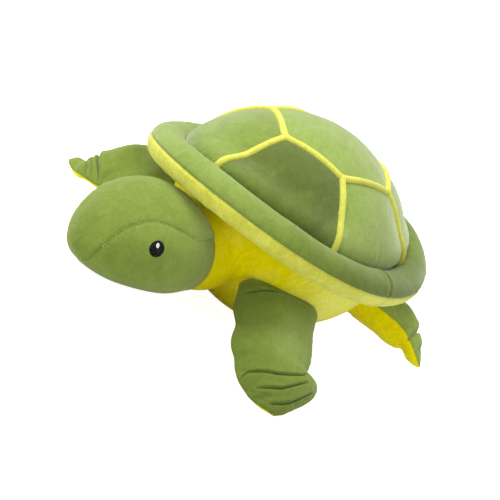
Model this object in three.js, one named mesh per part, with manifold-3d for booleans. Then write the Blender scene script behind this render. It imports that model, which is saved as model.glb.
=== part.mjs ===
// Plush sea turtle, half a metre long, as sewn covers around separate fillings.
// Millimetres. +X runs to the head, +Y to the turtle's left, +Z up.
// The origin is the centre of the flat face under the belly that the turtle rests on.

import * as THREE from 'three';
import { mergeVertices } from 'three/addons/utils/BufferGeometryUtils.js';
import Module from 'manifold-3d';

const wasm = await Module();
wasm.setup();

// Driving dimensions of the shell
const rimLength = 396;
const rimWidth = 324;
const rimTube = 40;
const rimHeight = 131;
const rimSaddle = 10;
const rimLean = 9.5;
const rimTwist = 3.8;
const domeHeight = 99;
const domeLength = 299;
const domeWidth = 253;
const domeSink = 12.5;
const panelPuff = 2;
const pipingWidth = 8;

// Driving dimensions of the torso, neck and head
const restDip = 10;
const neckWidth = 114;
const neckHeight = 90;
const neckLength = 47;
const neckReach = 118;
const neckDrop = 74;
const headOverlap = 20;
const headLength = 143.7;
const headWidth = 139;
const headHeight = 110.6;
const crownDrop = 71.6;
const snoutDrop = 93.4;
const eyeWidth = 14.5;
const eyeHeight = 19;
const eyeThickness = 1.2;
const glintWidth = 2.6;
const glintHeight = 5.6;
const glintThickness = 0.6;

// Driving dimensions of the flippers. The root's place is in shares of the rim's half length,
// half width and height. Angles at rest, in degrees: heading from the head sideways, slope below
// level, roll about the flipper's length and bend of its wrist. The outline is given at stations
// along the length, its leading and trailing edges as shares of half the chord.
const stationShares = [0, 0.11, 0.2, 0.32, 0.43, 0.5, 0.56, 0.62, 0.72, 0.81, 0.9, 0.96, 1];
const frontSize = { chord: 105, length: 152, thickness: 40, wristShare: 0.7 };
const farSize = { chord: 105, length: 134, thickness: 40, wristShare: 0.7 };
const rearSize = { chord: 78, length: 113, thickness: 44, wristShare: 0.6 };
const nearOutline = {
  leadShares: [-1, -1.05, -1.09, -1.05, -1.15, -1.19, -1.18, -1.13, -1.12, -1.04, -0.82, -0.6, -0.28],
  trailShares: [1, 0.9, 0.84, 0.79, 0.74, 0.66, 0.56, 0.82, 0.76, 0.52, 0.2, -0.02, -0.28],
  tipPower: 2.4,
  tipShare: 0.6,
};
const farOutline = {
  leadShares: [-1, -1.1, -1.18, -1.25, -1.28, -1.28, -1.27, -1.25, -1.2, -1.13, -1.04, -0.96, -0.84],
  trailShares: [1, 1, 1, 0.99, 0.97, 0.93, 0.89, 0.82, 0.5, -0.3, -0.6, -0.7, -0.84],
  tipPower: 2.8,
  tipShare: 0.8,
};
const rearOutline = {
  leadShares: [-1, -0.99, -0.97, -0.93, -0.84, -0.78, -0.74, -0.71, -0.68, -0.66, -0.56, -0.42, -0.26],
  trailShares: [1, 0.97, 0.94, 0.88, 0.76, 0.67, 0.59, 0.52, 0.41, 0.31, 0.1, -0.1, -0.26],
  tipPower: 3,
  tipShare: 1.4,
};
const frontLeft = { size: frontSize, outline: nearOutline, side: 1, rootShares: [0.307, 0.667, 0.456] };
const frontRight = { size: farSize, outline: farOutline, side: -1, rootShares: [0.29, 0.67, 0.468] };
const rearLeft = { size: rearSize, outline: rearOutline, side: 1, rootShares: [-0.682, 0.512, 0.536] };
const flippers = {
  front_left: { ...frontLeft, heading: 64, slope: 20.5, roll: 1, bend: 2 },
  front_right: { ...frontRight, heading: 79, slope: 13, roll: 20, bend: 19 },
  rear_left: { ...rearLeft, heading: 112, slope: -4, roll: -22, bend: 36 },
  rear_right: { ...rearLeft, side: -1, heading: 112, slope: -4, roll: -22, bend: 36 },
};

// Cloth and clearances
const cloth = 2;
const gap = 0.3;
const seamGap = 0.6;
const coreGap = 0.9;
const sleeveGap = 1.2;
const mergeDistance = 0.0001;

// Facets
const roundSteps = 36;
const arcColumns = 6;
const centreRows = 24;
const centreColumns = 5;
const panelRows = 8;
const panelColumns = 8;
const neckRows = 20;
const sleeveColumns = 7;
const neckColumns = 9;
const neckToolRows = 24;
const neckToolColumns = 14;
const headRows = 20;
const headColumns = 12;
const crownColumns = 9;
const cheekColumns = 8;
const patchRows = 14;
const patchColumns = 3;
const flipperRows = 9;
const rootCells = 2;
const flipperColumns = rootCells + stationShares.length;

const rimX = (rimLength - rimTube) / 2;
const rimY = (rimWidth - rimTube) / 2;
const rimRadius = rimTube / 2;
const radians = Math.PI / 180;

const green = { color: 0x8aa64e, roughness: 0.9, metalness: 0 };
const headGreen = { color: 0x86a052, roughness: 0.9, metalness: 0 };
const yellow = { color: 0xd8d22e, roughness: 0.9, metalness: 0 };
const piping = { color: 0xe4e650, roughness: 0.85, metalness: 0 };
const white = { color: 0xf2f2ee, roughness: 0.95, metalness: 0 };
const black = { color: 0x1c1c18, roughness: 0.6, metalness: 0 };

// Small helpers for vectors and closed surfaces

const lerp = (a, b, t) => a + (b - a) * t;
const smooth = (t) => {
  const c = Math.min(Math.max(t, 0), 1);
  return c * c * (3 - 2 * c);
};
const vec = (x, y, z) => new THREE.Vector3(x, y, z);

function geometryOf(points, faces) {
  const geometry = new THREE.BufferGeometry();
  const flat = points.flatMap((p) => [p.x, p.y, p.z]);
  geometry.setAttribute('position', new THREE.Float32BufferAttribute(flat, 3));
  geometry.setIndex(faces.flat());
  return geometry;
}

// A grid of points becomes two triangles a cell; flip turns the faces round.
function gridFaces(rows, columns, start, flip, closeRows, closeColumns) {
  const faces = [];
  const lastRow = closeRows ? rows : rows - 1;
  const lastColumn = closeColumns ? columns : columns - 1;
  for (let i = 0; i < lastRow; i += 1) {
    for (let j = 0; j < lastColumn; j += 1) {
      const a = start + i * columns + j;
      const b = start + ((i + 1) % rows) * columns + j;
      const c = start + ((i + 1) % rows) * columns + ((j + 1) % columns);
      const d = start + i * columns + ((j + 1) % columns);
      faces.push(flip ? [a, c, b] : [a, b, c], flip ? [a, d, c] : [a, c, d]);
    }
  }
  return faces;
}

// Merged vertices without the flat triangles that poles and shared edges leave.
function closed(geometry) {
  const merged = mergeVertices(geometry, mergeDistance);
  const index = merged.getIndex().array;
  const kept = [];
  for (let i = 0; i < index.length; i += 3) {
    const [a, b, c] = [index[i], index[i + 1], index[i + 2]];
    if (a !== b && b !== c && c !== a) kept.push(a, b, c);
  }
  merged.setIndex(kept);
  return outward(merged);
}

// Faces point out when the signed volume is positive.
function outward(geometry) {
  const p = geometry.getAttribute('position');
  const index = Array.from(geometry.getIndex().array);
  const at = (i) => vec(p.getX(i), p.getY(i), p.getZ(i));
  let volume = 0;
  for (let i = 0; i < index.length; i += 3) {
    volume += at(index[i]).dot(at(index[i + 1]).cross(at(index[i + 2])));
  }
  if (volume < 0) {
    for (let i = 0; i < index.length; i += 3) {
      [index[i + 1], index[i + 2]] = [index[i + 2], index[i + 1]];
    }
  }
  geometry.setIndex(index);
  return geometry;
}

const sample = (rows, columns, closeRows, closeColumns, at) => {
  const points = [];
  for (let i = 0; i < rows; i += 1) {
    for (let j = 0; j < columns; j += 1) {
      const u = i / (closeRows ? rows : rows - 1);
      const v = j / (closeColumns ? columns : columns - 1);
      points.push(at(u, v));
    }
  }
  return points;
};

// A surface closed in u, whose v ends are poles or, when closeColumns is set, a ring.
function roundSolid(rows, columns, at, ring = false) {
  const points = sample(rows, columns, true, ring, at);
  return closed(geometryOf(points, gridFaces(rows, columns, 0, false, true, ring)));
}

// A sheet of cloth between an outer and an inner surface, with walls along its open edges.
function sheetSolid(rows, columns, outer, inner, closeRows = false) {
  const points = [
    ...sample(rows, columns, closeRows, false, outer),
    ...sample(rows, columns, closeRows, false, inner),
  ];
  const count = rows * columns;
  const faces = [
    ...gridFaces(rows, columns, 0, false, closeRows, false),
    ...gridFaces(rows, columns, count, true, closeRows, false),
  ];
  const wall = (a, b) => faces.push([a, b + count, b], [a, a + count, b + count]);
  const lastRow = closeRows ? rows : rows - 1;
  for (let i = 0; i < lastRow; i += 1) {
    const next = (i + 1) % rows;
    wall(i * columns, next * columns);
    wall(next * columns + columns - 1, i * columns + columns - 1);
  }
  if (!closeRows) {
    for (let j = 0; j < columns - 1; j += 1) {
      wall(j + 1, j);
      wall((rows - 1) * columns + j, (rows - 1) * columns + j + 1);
    }
  }
  return closed(geometryOf(points, faces));
}

// Manifold solids for joins and cuts
function solidOf(geometry) {
  const bare = geometry.clone();
  bare.deleteAttribute('normal');
  bare.deleteAttribute('uv');
  const merged = mergeVertices(bare, mergeDistance);
  return new wasm.Manifold(new wasm.Mesh({
    numProp: 3,
    vertProperties: Float32Array.from(merged.getAttribute('position').array),
    triVerts: Uint32Array.from(merged.getIndex().array),
  }));
}

function geometryFrom(solid) {
  const { vertProperties, triVerts } = solid.getMesh();
  const geometry = new THREE.BufferGeometry();
  geometry.setAttribute('position', new THREE.BufferAttribute(Float32Array.from(vertProperties), 3));
  geometry.setIndex(Array.from(triVerts));
  return geometry;
}

const cut = (geometry, ...tools) => geometryFrom(
  tools.reduce((solid, tool) => solid.subtract(solidOf(tool)), solidOf(geometry)),
);

const turtle = new THREE.Group();

function add(name, geometry, look) {
  const shown = geometry.toNonIndexed();
  shown.computeVertexNormals();
  const mesh = new THREE.Mesh(shown, new THREE.MeshStandardMaterial(look));
  mesh.name = name;
  turtle.add(mesh);
}

// Rim: a stuffed tube on an oval that rises at head and tail and leans to the right.
// Turn runs round the shell from the head, roll round the tube from its outer side upwards.
function rimPoint(turn, roll, radius) {
  const cos = Math.cos(turn);
  const sin = Math.sin(turn);
  const out = vec(cos / rimX, sin / rimY, 0).normalize();
  const lift = rimSaddle * Math.cos(2 * turn) + rimLean * sin + rimTwist * Math.sin(2 * turn);
  return vec(rimX * cos, rimY * sin, rimHeight + lift)
    .addScaledVector(out, radius * Math.cos(roll))
    .add(vec(0, 0, radius * Math.sin(roll)));
}

const rimSeam = 5 * radians;
const domeSeam = 150 * radians;
const bellySeam = 222 * radians;
const fullTurn = 2 * Math.PI;
const clothInside = cloth + gap;

// Rolls of the corners of one cover's section, a little inside its two seams
function arcRolls(from, to) {
  const inset = gap / rimRadius;
  const cells = arcColumns - 1;
  return Array.from({ length: arcColumns }, (_, k) => lerp(from + inset, to - inset, k / cells));
}
const topRolls = arcRolls(rimSeam, domeSeam);
const underRolls = arcRolls(bellySeam, rimSeam + fullTurn);

function rimCover(rolls) {
  const cells = rolls.length - 1;
  const at = (radius) => (u, v) => rimPoint(u * fullTurn, rolls[Math.round(v * cells)], radius);
  return sheetSolid(roundSteps, rolls.length, at(rimRadius), at(rimRadius - cloth), true);
}

// A closed tube whose corners line up with those of the covers
function tubeSolid(radius) {
  const middle = [1, 2].map((k) => lerp(domeSeam, bellySeam, k / 3));
  const rolls = [...topRolls, ...middle, ...underRolls.slice(0, -1)];
  const at = (u, v) => rimPoint(u * fullTurn, rolls[Math.round(v * rolls.length)], radius);
  return roundSolid(roundSteps, rolls.length, at, true);
}

function makeRim() {
  add('rim_top_cover', rimCover(topRolls), green);
  add('rim_under_cover', rimCover(underRolls), yellow);
  add('rim_filling', tubeSolid(rimRadius - clothInside), white);
}

// Dome: half an ellipsoid that flares at its foot to meet the rim's inner seam.
// Ring runs from 0 at the crown to 1 at the rim.
const flareShare = 0.6;

function domePoint(turn, ring, inset) {
  const rise = (1 - ring) * Math.PI / 2;
  const height = domeHeight + domeSink;
  const bare = (r) => vec(
    domeLength / 2 * Math.cos(turn) * Math.cos(r),
    domeWidth / 2 * Math.sin(turn) * Math.cos(r),
    rimHeight - domeSink + height * Math.sin(r),
  );
  const foot = rimPoint(turn, domeSeam, rimRadius);
  const pull = smooth((ring - flareShare) / (1 - flareShare));
  const p = bare(rise).addScaledVector(foot.sub(bare(0)), pull);
  const normal = vec(
    Math.cos(turn) * Math.cos(rise) / domeLength,
    Math.sin(turn) * Math.cos(rise) / domeWidth,
    Math.sin(rise) / (2 * height),
  ).normalize();
  return p.addScaledVector(normal, -inset);
}

const hexShare = 0.405;
const hexTurns = [0, 57, 113.5, 180, 246.5, 303].map((degrees) => degrees * radians);
const ribTurns = [0, 68, 121.5, 180, 238.5, 292].map((degrees) => degrees * radians);
const corner = (i) => new THREE.Vector2(
  hexShare * Math.cos(hexTurns[i % 6]),
  hexShare * Math.sin(hexTurns[i % 6]),
);

// A place on the dome from its flat map, where the crown is the centre and the rim a unit circle.
const domeAt = (map, inset) => domePoint(Math.atan2(map.y, map.x), map.length(), inset);

// How far to move a border inwards, as a share of the panel, to leave a distance beside its seam.
// The border runs across the direction of the move.
const mapStepShare = 0.001;

function insetShare(at, u, v, moveU, moveV, distance) {
  const step = mapStepShare;
  const here = at(u, v);
  const move = at(u + moveU * step, v + moveV * step).sub(here).divideScalar(step);
  const border = at(u + Math.abs(moveV) * step, v + Math.abs(moveU) * step).sub(here).normalize();
  return distance / move.cross(border).length();
}

const pipeRadius = pipingWidth / 2;
const seamSpace = pipeRadius + seamGap;

function centrePanel(u, v, inset) {
  const flat = (s, t) => {
    const side = s * 6;
    const i = Math.floor(side) % 6;
    const edge = corner(i).lerp(corner(i + 1), side - Math.floor(side));
    return edge.multiplyScalar(t);
  };
  const border = 1 - insetShare((s, t) => domeAt(flat(s, t), 0), u, 1, 0, -1, seamSpace);
  return domeAt(flat(u, v * border), inset - panelPuff * (1 - v * v));
}

const panelFootShare = 0.975;
const puffPower = 0.7;
const puffLean = 0.8;

function sidePanel(i, u, v, inset) {
  const nextFoot = i === 5 ? ribTurns[0] + fullTurn : ribTurns[i + 1];
  const flat = (s, t) => {
    const turn = lerp(ribTurns[i], nextFoot, s);
    const foot = new THREE.Vector2(Math.cos(turn), Math.sin(turn));
    return corner(i).lerp(corner(i + 1), s).lerp(foot, t);
  };
  const bare = (s, t) => domeAt(flat(s, t), 0);
  const left = insetShare(bare, 0, v, 1, 0, seamSpace);
  const right = insetShare(bare, 1, v, -1, 0, seamSpace);
  const s = lerp(left, 1 - right, u);
  const top = insetShare(bare, s, 0, 0, 1, seamSpace);
  const puff = panelPuff * (4 * u * (1 - u)) ** puffPower * Math.sin(Math.PI * v ** puffLean);
  return domeAt(flat(s, lerp(top, panelFootShare, v)), inset - puff);
}

// Piping: a cord with a round back that lies between the panels, as deep as their cloth.
const pipeCorners = 7;

function pipeCorner(k, radius, depth) {
  if (k < 5) return [radius * Math.cos(k * Math.PI / 4), radius * Math.sin(k * Math.PI / 4)];
  return [k === 5 ? -radius : radius, -depth];
}

function pipeSolid(path, grow, closedPath, steps) {
  const at = (u, v) => {
    const here = path(u);
    const step = 1 / (4 * steps);
    const ahead = path(closedPath ? (u + step) % 1 : Math.min(u + step, 1));
    const behind = path(closedPath ? (u - step + 1) % 1 : Math.max(u - step, 0));
    const along = ahead.point.clone().sub(behind.point).normalize();
    const across = along.clone().cross(here.up).normalize();
    const lift = across.clone().cross(along);
    const [a, b] = pipeCorner(Math.round(v * pipeCorners), pipeRadius + grow, cloth + grow);
    return here.point.clone().addScaledVector(across, a).addScaledVector(lift, b);
  };
  if (closedPath) return roundSolid(steps, pipeCorners, at, true);
  const points = sample(steps + 1, pipeCorners, false, true, at);
  const faces = gridFaces(steps + 1, pipeCorners, 0, false, false, true);
  const ends = [path(0).point, path(1).point].map((p) => points.push(p) - 1);
  for (let j = 0; j < pipeCorners; j += 1) {
    const next = (j + 1) % pipeCorners;
    faces.push([ends[0], j, next]);
    faces.push([ends[1], steps * pipeCorners + next, steps * pipeCorners + j]);
  }
  return closed(geometryOf(points, faces));
}

function domeStation(map) {
  const point = domeAt(map.clone(), 0);
  return { point, up: domeAt(map.clone(), -1).sub(point).normalize() };
}

function hexPath(u) {
  const side = (((u % 1) + 1) % 1) * 6;
  const i = Math.floor(side) % 6;
  return domeStation(corner(i).lerp(corner(i + 1), side - Math.floor(side)));
}

const ribEndShare = 0.985;
const hexSteps = 36;
const ribSteps = 9;
const ribFoot = (i) => new THREE.Vector2(Math.cos(ribTurns[i]), Math.sin(ribTurns[i]));
const ribPath = (i) => (u) => domeStation(corner(i).lerp(ribFoot(i), u * ribEndShare));

function makeShell() {
  const ends = [pipeSolid(hexPath, seamGap, true, hexSteps), tubeSolid(rimRadius + gap)];
  for (let i = 0; i < 6; i += 1) {
    const rib = pipeSolid(ribPath(i), 0, false, ribSteps);
    add(`piping_rib_${i + 1}`, cut(rib, ...ends), piping);
  }
  add('piping_hexagon', pipeSolid(hexPath, 0, true, hexSteps), piping);
  const middle = (inset) => (u, v) => centrePanel(u, v, inset);
  const centre = sheetSolid(centreRows, centreColumns, middle(0), middle(cloth), true);
  add('shell_panel_centre', centre, green);
  for (let i = 0; i < 6; i += 1) {
    const face = (inset) => (u, v) => sidePanel(i, u, v, inset);
    const panel = sheetSolid(panelRows, panelColumns, face(0), face(cloth));
    add(`shell_panel_${i + 1}`, panel, green);
  }
}

// Torso: a bowl that hangs from the rim's inner lower seam to the flat rest under the belly.
// Depth runs from 0 at the seam to 1 at the centre of the rest.
const bowlPower = 1.9;
const shelfShare = 0.12;
const bowlShares = { front: 0.8, side: 0.97, rear: 1 };
const bowlSetback = 12;

function bowlPoint(turn, depth) {
  const seam = rimPoint(turn, bellySeam, rimRadius + gap);
  const angle = depth * Math.PI / 2;
  const out = Math.max(Math.cos(angle), 0) ** (2 / bowlPower);
  const down = Math.sin(angle) ** (2 / bowlPower);
  const end = Math.cos(turn) > 0 ? bowlShares.front : bowlShares.rear;
  const narrow = lerp(bowlShares.side, end, Math.cos(turn) ** 2);
  const share = out * lerp(1, narrow, smooth(depth / shelfShare));
  const x = seam.x * share - bowlSetback * down;
  return vec(x, seam.y * share, Math.max(seam.z - (seam.z + restDip) * down, 0));
}

// Insets are measured square to the bowl.
const deepestShare = 0.98;
const depthStepShare = 0.005;

function torsoPoint(turn, depth, inset) {
  const step = depthStepShare;
  const d = Math.min(Math.max(depth, step), deepestShare);
  const round = bowlPoint(turn + step, d).sub(bowlPoint(turn - step, d));
  const down = bowlPoint(turn, d + step).sub(bowlPoint(turn, d - step));
  const normal = down.cross(round).normalize();
  return bowlPoint(turn, depth).addScaledVector(normal, -inset);
}

// The stuffing fills the dome, the inside of the rim and the torso in one piece.
const domeCells = 9;
const rimCells = 3;
const bowlCells = 8;
const stuffingColumns = domeCells + rimCells + bowlCells;
const domeEndShare = 0.9;
const domeEndSlack = 3;
const ringPower = 0.7;

const seamTurnIn = 24 * radians;

function stuffingPoint(turn, way) {
  const cell = Math.round(way * (stuffingColumns - 1));
  if (cell < domeCells) {
    const ring = (cell / (domeCells - 1)) ** ringPower * domeEndShare;
    const slack = domeEndSlack * smooth((ring - flareShare) / (1 - flareShare));
    return domePoint(turn, ring, cloth + coreGap + slack);
  }
  if (cell < domeCells + rimCells) {
    const along = (cell - domeCells) / (rimCells - 1);
    const roll = lerp(domeSeam + seamTurnIn, bellySeam - seamTurnIn, along);
    return rimPoint(turn, roll, rimRadius + seamGap);
  }
  return torsoPoint(turn, (cell - domeCells - rimCells + 1) / bowlCells, clothInside);
}

// Neck: a ball seated in the torso's front, drawn out to a stuffed column that enters the head.
// Every level section of the ball is round about its upright hinge, so that the head can turn.
const neckCentre = vec(neckReach, 0, rimHeight - neckDrop);
const headLimit = 8;
const limitMargin = 1;
const sleeveStartShare = 0.25;
const headRear = neckReach + neckLength - headOverlap;
const rearShare = 0.857;

function neckPoint(turn, along, inset, flare = false) {
  const ball = neckWidth / 2 - inset;
  const arc = ball * Math.PI / 2;
  const way = along * (arc + neckLength - inset);
  const ahead = Math.max(way - arc, 0);
  const angle = Math.min(way / ball, Math.PI / 2);
  const reached = Math.min(ahead / (headRear - neckReach), 1);
  const fit = cloth + sleeveGap;
  const wide = lerp(neckWidth / 2, headWidth / 2 * rearShare - fit, reached) - inset;
  const high = lerp(neckHeight / 2, headHeight / 2 * rearShare - fit, reached) - inset;
  const spread = flare ? ahead * Math.tan((headLimit + limitMargin) * radians) : 0;
  return vec(
    neckCentre.x + (way < arc ? -ball * Math.cos(angle) : ahead),
    (wide * Math.sin(angle) + spread) * Math.sin(turn),
    neckCentre.z + high * Math.sin(angle) * Math.cos(turn),
  );
}

function makeNeck() {
  const sleeve = (inset) => (u, v) => neckPoint(u * fullTurn, lerp(sleeveStartShare, 1, v), inset);
  const cover = sheetSolid(neckRows, sleeveColumns, sleeve(0), sleeve(cloth), true);
  add('neck_sleeve', cover, yellow);
  const filling = (u, v) => neckPoint(u * fullTurn, v, clothInside);
  add('neck_filling', capped(neckRows, neckColumns, filling), white);
}

// A closed surface that starts at a pole and ends in a flat face.
function capped(rows, columns, at) {
  const middle = vec(0, 0, 0);
  for (let i = 0; i < rows; i += 1) middle.addScaledVector(at(i / rows, 1), 1 / rows);
  const place = (u, v) => {
    const column = Math.round(v * columns);
    return column === columns ? middle : at(u, column / (columns - 1));
  };
  return roundSolid(rows, columns + 1, place);
}

function neckTool() {
  const at = (u, v) => neckPoint(u * fullTurn, v, -coreGap, true);
  return capped(neckToolRows, neckToolColumns, at);
}

// Head: oval sections along X that swell behind the eyes and taper to a blunt snout.
// Along runs from 0 at the rear seam to 1 at the snout, turn from the crown down the left side.
const swellShare = 0.29;
const noseFullness = 1.98;
const noseBluntness = 0.65;

function headShare(along) {
  if (along < swellShare) {
    return lerp(rearShare, 1, Math.sin(Math.PI / 2 * along / swellShare));
  }
  const nose = (along - swellShare) / (1 - swellShare);
  return Math.max(1 - nose ** noseFullness, 0) ** noseBluntness;
}

// Where on the nose a section has a given share of the head's size
function alongOf(share) {
  const nose = Math.max(1 - share ** (1 / noseBluntness), 0) ** (1 / noseFullness);
  return lerp(swellShare, 1, nose);
}

function headPoint(turn, along, inset) {
  const share = headShare(along);
  const drop = neckDrop * (1 - along) * (1 - 2 * along)
    + 4 * crownDrop * along * (1 - along) + snoutDrop * along * (2 * along - 1);
  return vec(
    headRear + (headLength - inset) * along,
    Math.max(headWidth / 2 * share - inset, 0) * Math.sin(turn),
    rimHeight - drop + Math.max(headHeight / 2 * share - inset, 0) * Math.cos(turn),
  );
}

// The seam beside the crown panel dips over the eye and swings down round the snout to the chin.
const seamAlongShares = [0, 0.1, 0.2, 0.3, 0.4, 0.54, 0.63, 0.71, 0.83, 0.9, 0.93, 0.92, 0.91];
const seamTurns = [42, 44, 48, 50, 47, 38, 32, 31, 37, 60, 92, 140, 180];
const seamCells = seamTurns.length - 1;
const faceTilt = 46;
const chordStartShare = 0.54;
const chordEndShare = 0.9;

const seamSlack = (along) => gap / (headHeight * headShare(along));

// The face is sewn a little askew: its right side sits lower, the more so the nearer the crown.
const faceTurn = (side, degrees) => {
  const tilt = side < 0 ? faceTilt * (1 - degrees / 180) : 0;
  return (degrees + tilt) * radians;
};

// Rows of the crown panel run round the head at the rear and straight across the nose in front.
function crownPoint(row, side, inset) {
  const i = Math.round(row * seamCells);
  const along = seamAlongShares[i];
  const share = headShare(along);
  const slack = i < seamCells ? 2 * seamSlack(along) : 0;
  const turn = Math.max(faceTurn(side, seamTurns[i]) - slack, 0);
  const across = share * Math.sin(turn) * side;
  const rise = share * Math.cos(turn);
  const chord = smooth((along - chordStartShare) / (chordEndShare - chordStartShare));
  const bent = side === 0 && rise < 0 ? Math.PI : Math.atan2(across, rise);
  return headPoint(
    lerp(side * turn, bent, chord),
    lerp(along, alongOf(Math.hypot(across, rise)), chord),
    inset,
  );
}

// Rows of a cheek panel run from the seam down to the chin.
function cheekPoint(side, row, v, inset) {
  const i = Math.round(row * seamCells);
  const along = Math.max(seamAlongShares[i] - seamGap / headLength, 0);
  const chin = Math.PI - 2 * seamSlack(along);
  const high = Math.min(faceTurn(side, seamTurns[i]) + 2 * seamSlack(along), chin);
  const chinAlong = row * (seamAlongShares[seamCells] - seamGap / headLength);
  return headPoint(side * lerp(high, chin, v), lerp(along, chinAlong, v), inset);
}

const headSlack = 1.5;

function makeHead() {
  const rows = seamCells + 1;
  const crown = (inset) => (u, v) => crownPoint(u, 2 * v - 1, inset);
  add('head_crown_panel', sheetSolid(rows, crownColumns, crown(0), crown(cloth)), headGreen);
  for (const [name, side] of [['left', 1], ['right', -1]]) {
    const cheek = (inset) => (u, v) => cheekPoint(side, u, v, inset);
    add(`head_${name}_panel`, sheetSolid(rows, cheekColumns, cheek(0), cheek(cloth)), headGreen);
  }
  const inset = clothInside + headSlack;
  const fillingStart = (headOverlap + gap) / (headLength - inset);
  const filling = (u, v) => headPoint(u * fullTurn, lerp(1, fillingStart, v), inset);
  add('head_filling', capped(headRows, headColumns, filling), white);
}

// Eyes: satin-stitched ovals that lie on the cheek panels, each with a small white glint.
const eyes = {
  left: { side: 1, alongShare: 0.63, turn: 63.5 },
  right: { side: -1, alongShare: 0.56, turn: 98 },
};
const glintRise = 4;
const eyeSeat = 0.1;

function headPatch({ side, alongShare, turn }, width, height, from, to) {
  const at = (inset) => (u, v) => {
    const angle = u * fullTurn;
    const along = alongShare + v * width / 2 * Math.cos(angle) / headLength;
    const step = v * height / 2 * Math.sin(angle) / (headWidth / 2 * headShare(alongShare));
    return headPoint(side * (turn * radians + step), along, -inset);
  };
  return sheetSolid(patchRows, patchColumns, at(to), at(from), true);
}

function makeEyes() {
  for (const [name, place] of Object.entries(eyes)) {
    const eye = headPatch(place, eyeWidth, eyeHeight, eyeSeat, eyeSeat + eyeThickness);
    add(`${name}_eye`, eye, black);
    const low = eyeSeat + eyeThickness + gap;
    const high = { ...place, turn: place.turn - glintRise };
    const glint = headPatch(high, glintWidth, glintHeight, low, low + glintThickness);
    add(`${name}_eye_glint`, glint, white);
  }
}

// Flippers: pillows whose root is a round edge turned about its hinge, so that they can flap.
const edgePower = 2.6;
const pillowSlack = 0.7;

function flipperFrame({ side, rootShares, heading, slope, roll }) {
  const [a, e, r] = [heading * radians, slope * radians, roll * radians];
  const out = vec(Math.cos(e) * Math.cos(a), side * Math.cos(e) * Math.sin(a), -Math.sin(e));
  const level = vec(-Math.sin(a), side * Math.cos(a), 0);
  const rise = level.clone().cross(out).multiplyScalar(-side);
  const back = level.clone().multiplyScalar(Math.cos(r)).addScaledVector(rise, Math.sin(r));
  const up = rise.clone().multiplyScalar(Math.cos(r)).addScaledVector(level, -Math.sin(r));
  const [ahead, beside, above] = rootShares;
  return { hinge: vec(rimX * ahead, side * rimY * beside, rimHeight * above), out, back, up };
}

// Edge runs across the chord from -1 to 1, face is 1 on top and -1 underneath.
const edgeFullness = (edge) => Math.max(1 - Math.abs(edge) ** edgePower, 0) ** 0.5;

function flipperPoint(flipper, edge, v, face, inset, lift = 0) {
  const { chord, length, thickness, wristShare } = flipper.size;
  const { leadShares, trailShares, tipPower, tipShare } = flipper.outline;
  const { hinge, out, back, up } = flipperFrame(flipper);
  const radius = (thickness / 2 - inset) * edgeFullness(edge);
  const column = Math.round(v * (flipperColumns - 1)) - rootCells;
  const behind = Math.PI / 2 * -column / rootCells;
  const station = Math.max(column, 0);
  const share = stationShares[station];
  const reach = share * length - inset * share ** tipPower;
  const wrist = wristShare * length;
  const bend = flipper.bend * radians;
  const past = Math.max(reach - wrist, 0);
  const away = column < 0 ? -radius * Math.sin(behind)
    : Math.min(reach, wrist) + past * Math.cos(bend);
  const half = column < 0 ? radius * Math.cos(behind)
    : radius * (1 - share ** tipPower) ** tipShare;
  const [lead, trail] = [leadShares[station], trailShares[station]];
  const span = (trail - lead) / 2 * (chord / 2 - inset);
  const across = (lead + trail) / 2 * chord / 2 + edge * span;
  return hinge.clone()
    .addScaledVector(out, away)
    .addScaledVector(back, across)
    .addScaledVector(up, face * (half + lift) - past * Math.sin(bend));
}

const edgeOf = (u) => -Math.cos(Math.PI * u);

function pillow(flipper, inset) {
  const points = [1, -1].flatMap((face) => sample(flipperRows, flipperColumns, false, false,
    (u, v) => flipperPoint(flipper, edgeOf(u), v, face, inset)));
  const faces = [
    ...gridFaces(flipperRows, flipperColumns, 0, false, false, false),
    ...gridFaces(flipperRows, flipperColumns, flipperRows * flipperColumns, true, false, false),
  ];
  return closed(geometryOf(points, faces));
}

function flipperCover(flipper, face) {
  const at = (inset) => (u, v) => flipperPoint(flipper, edgeOf(u), v, face, inset, gap / 2);
  return sheetSolid(flipperRows, flipperColumns, at(0), at(cloth));
}

// The seat that a flipper's root turns in, a little wider than the root all round. Outwards it
// opens like a fan, so that the flipper clears the torso at both ends of its flap.
const flapLimit = 16;
const seatCells = 6;
const seatReach = 46;

function flipperSeat(flipper) {
  const { hinge, out, back, up } = flipperFrame(flipper);
  const { chord, thickness } = flipper.size;
  const columns = flipperRows + 2;
  const place = (edge, away, rise) => hinge.clone()
    .addScaledVector(back, edge * (chord / 2 + coreGap))
    .addScaledVector(out, away)
    .addScaledVector(up, rise);
  return roundSolid(seatCells + 3, columns, (u, v) => {
    const column = Math.round(v * (columns - 1));
    if (column === 0 || column === columns - 1) return place(column === 0 ? -1 : 1, gap, 0);
    const edge = edgeOf((column - 1) / (flipperRows - 1));
    const radius = thickness / 2 * edgeFullness(edge) + gap;
    const k = Math.round(u * (seatCells + 3));
    if (k > seatCells) {
      const rise = radius + seatReach * Math.tan((flapLimit + limitMargin) * radians);
      return place(edge, seatReach, k === seatCells + 1 ? -rise : rise);
    }
    const angle = Math.PI * (1 / 2 + k / seatCells);
    const round = radius / Math.cos(Math.PI / seatCells / 2);
    return place(edge, round * Math.cos(angle), round * Math.sin(angle));
  });
}

function makeFlippers() {
  for (const [name, flipper] of Object.entries(flippers)) {
    add(`${name}_flipper_top`, flipperCover(flipper, 1), green);
    add(`${name}_flipper_underside`, flipperCover(flipper, -1), yellow);
    add(`${name}_flipper_filling`, pillow(flipper, clothInside + pillowSlack), white);
  }
}

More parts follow.
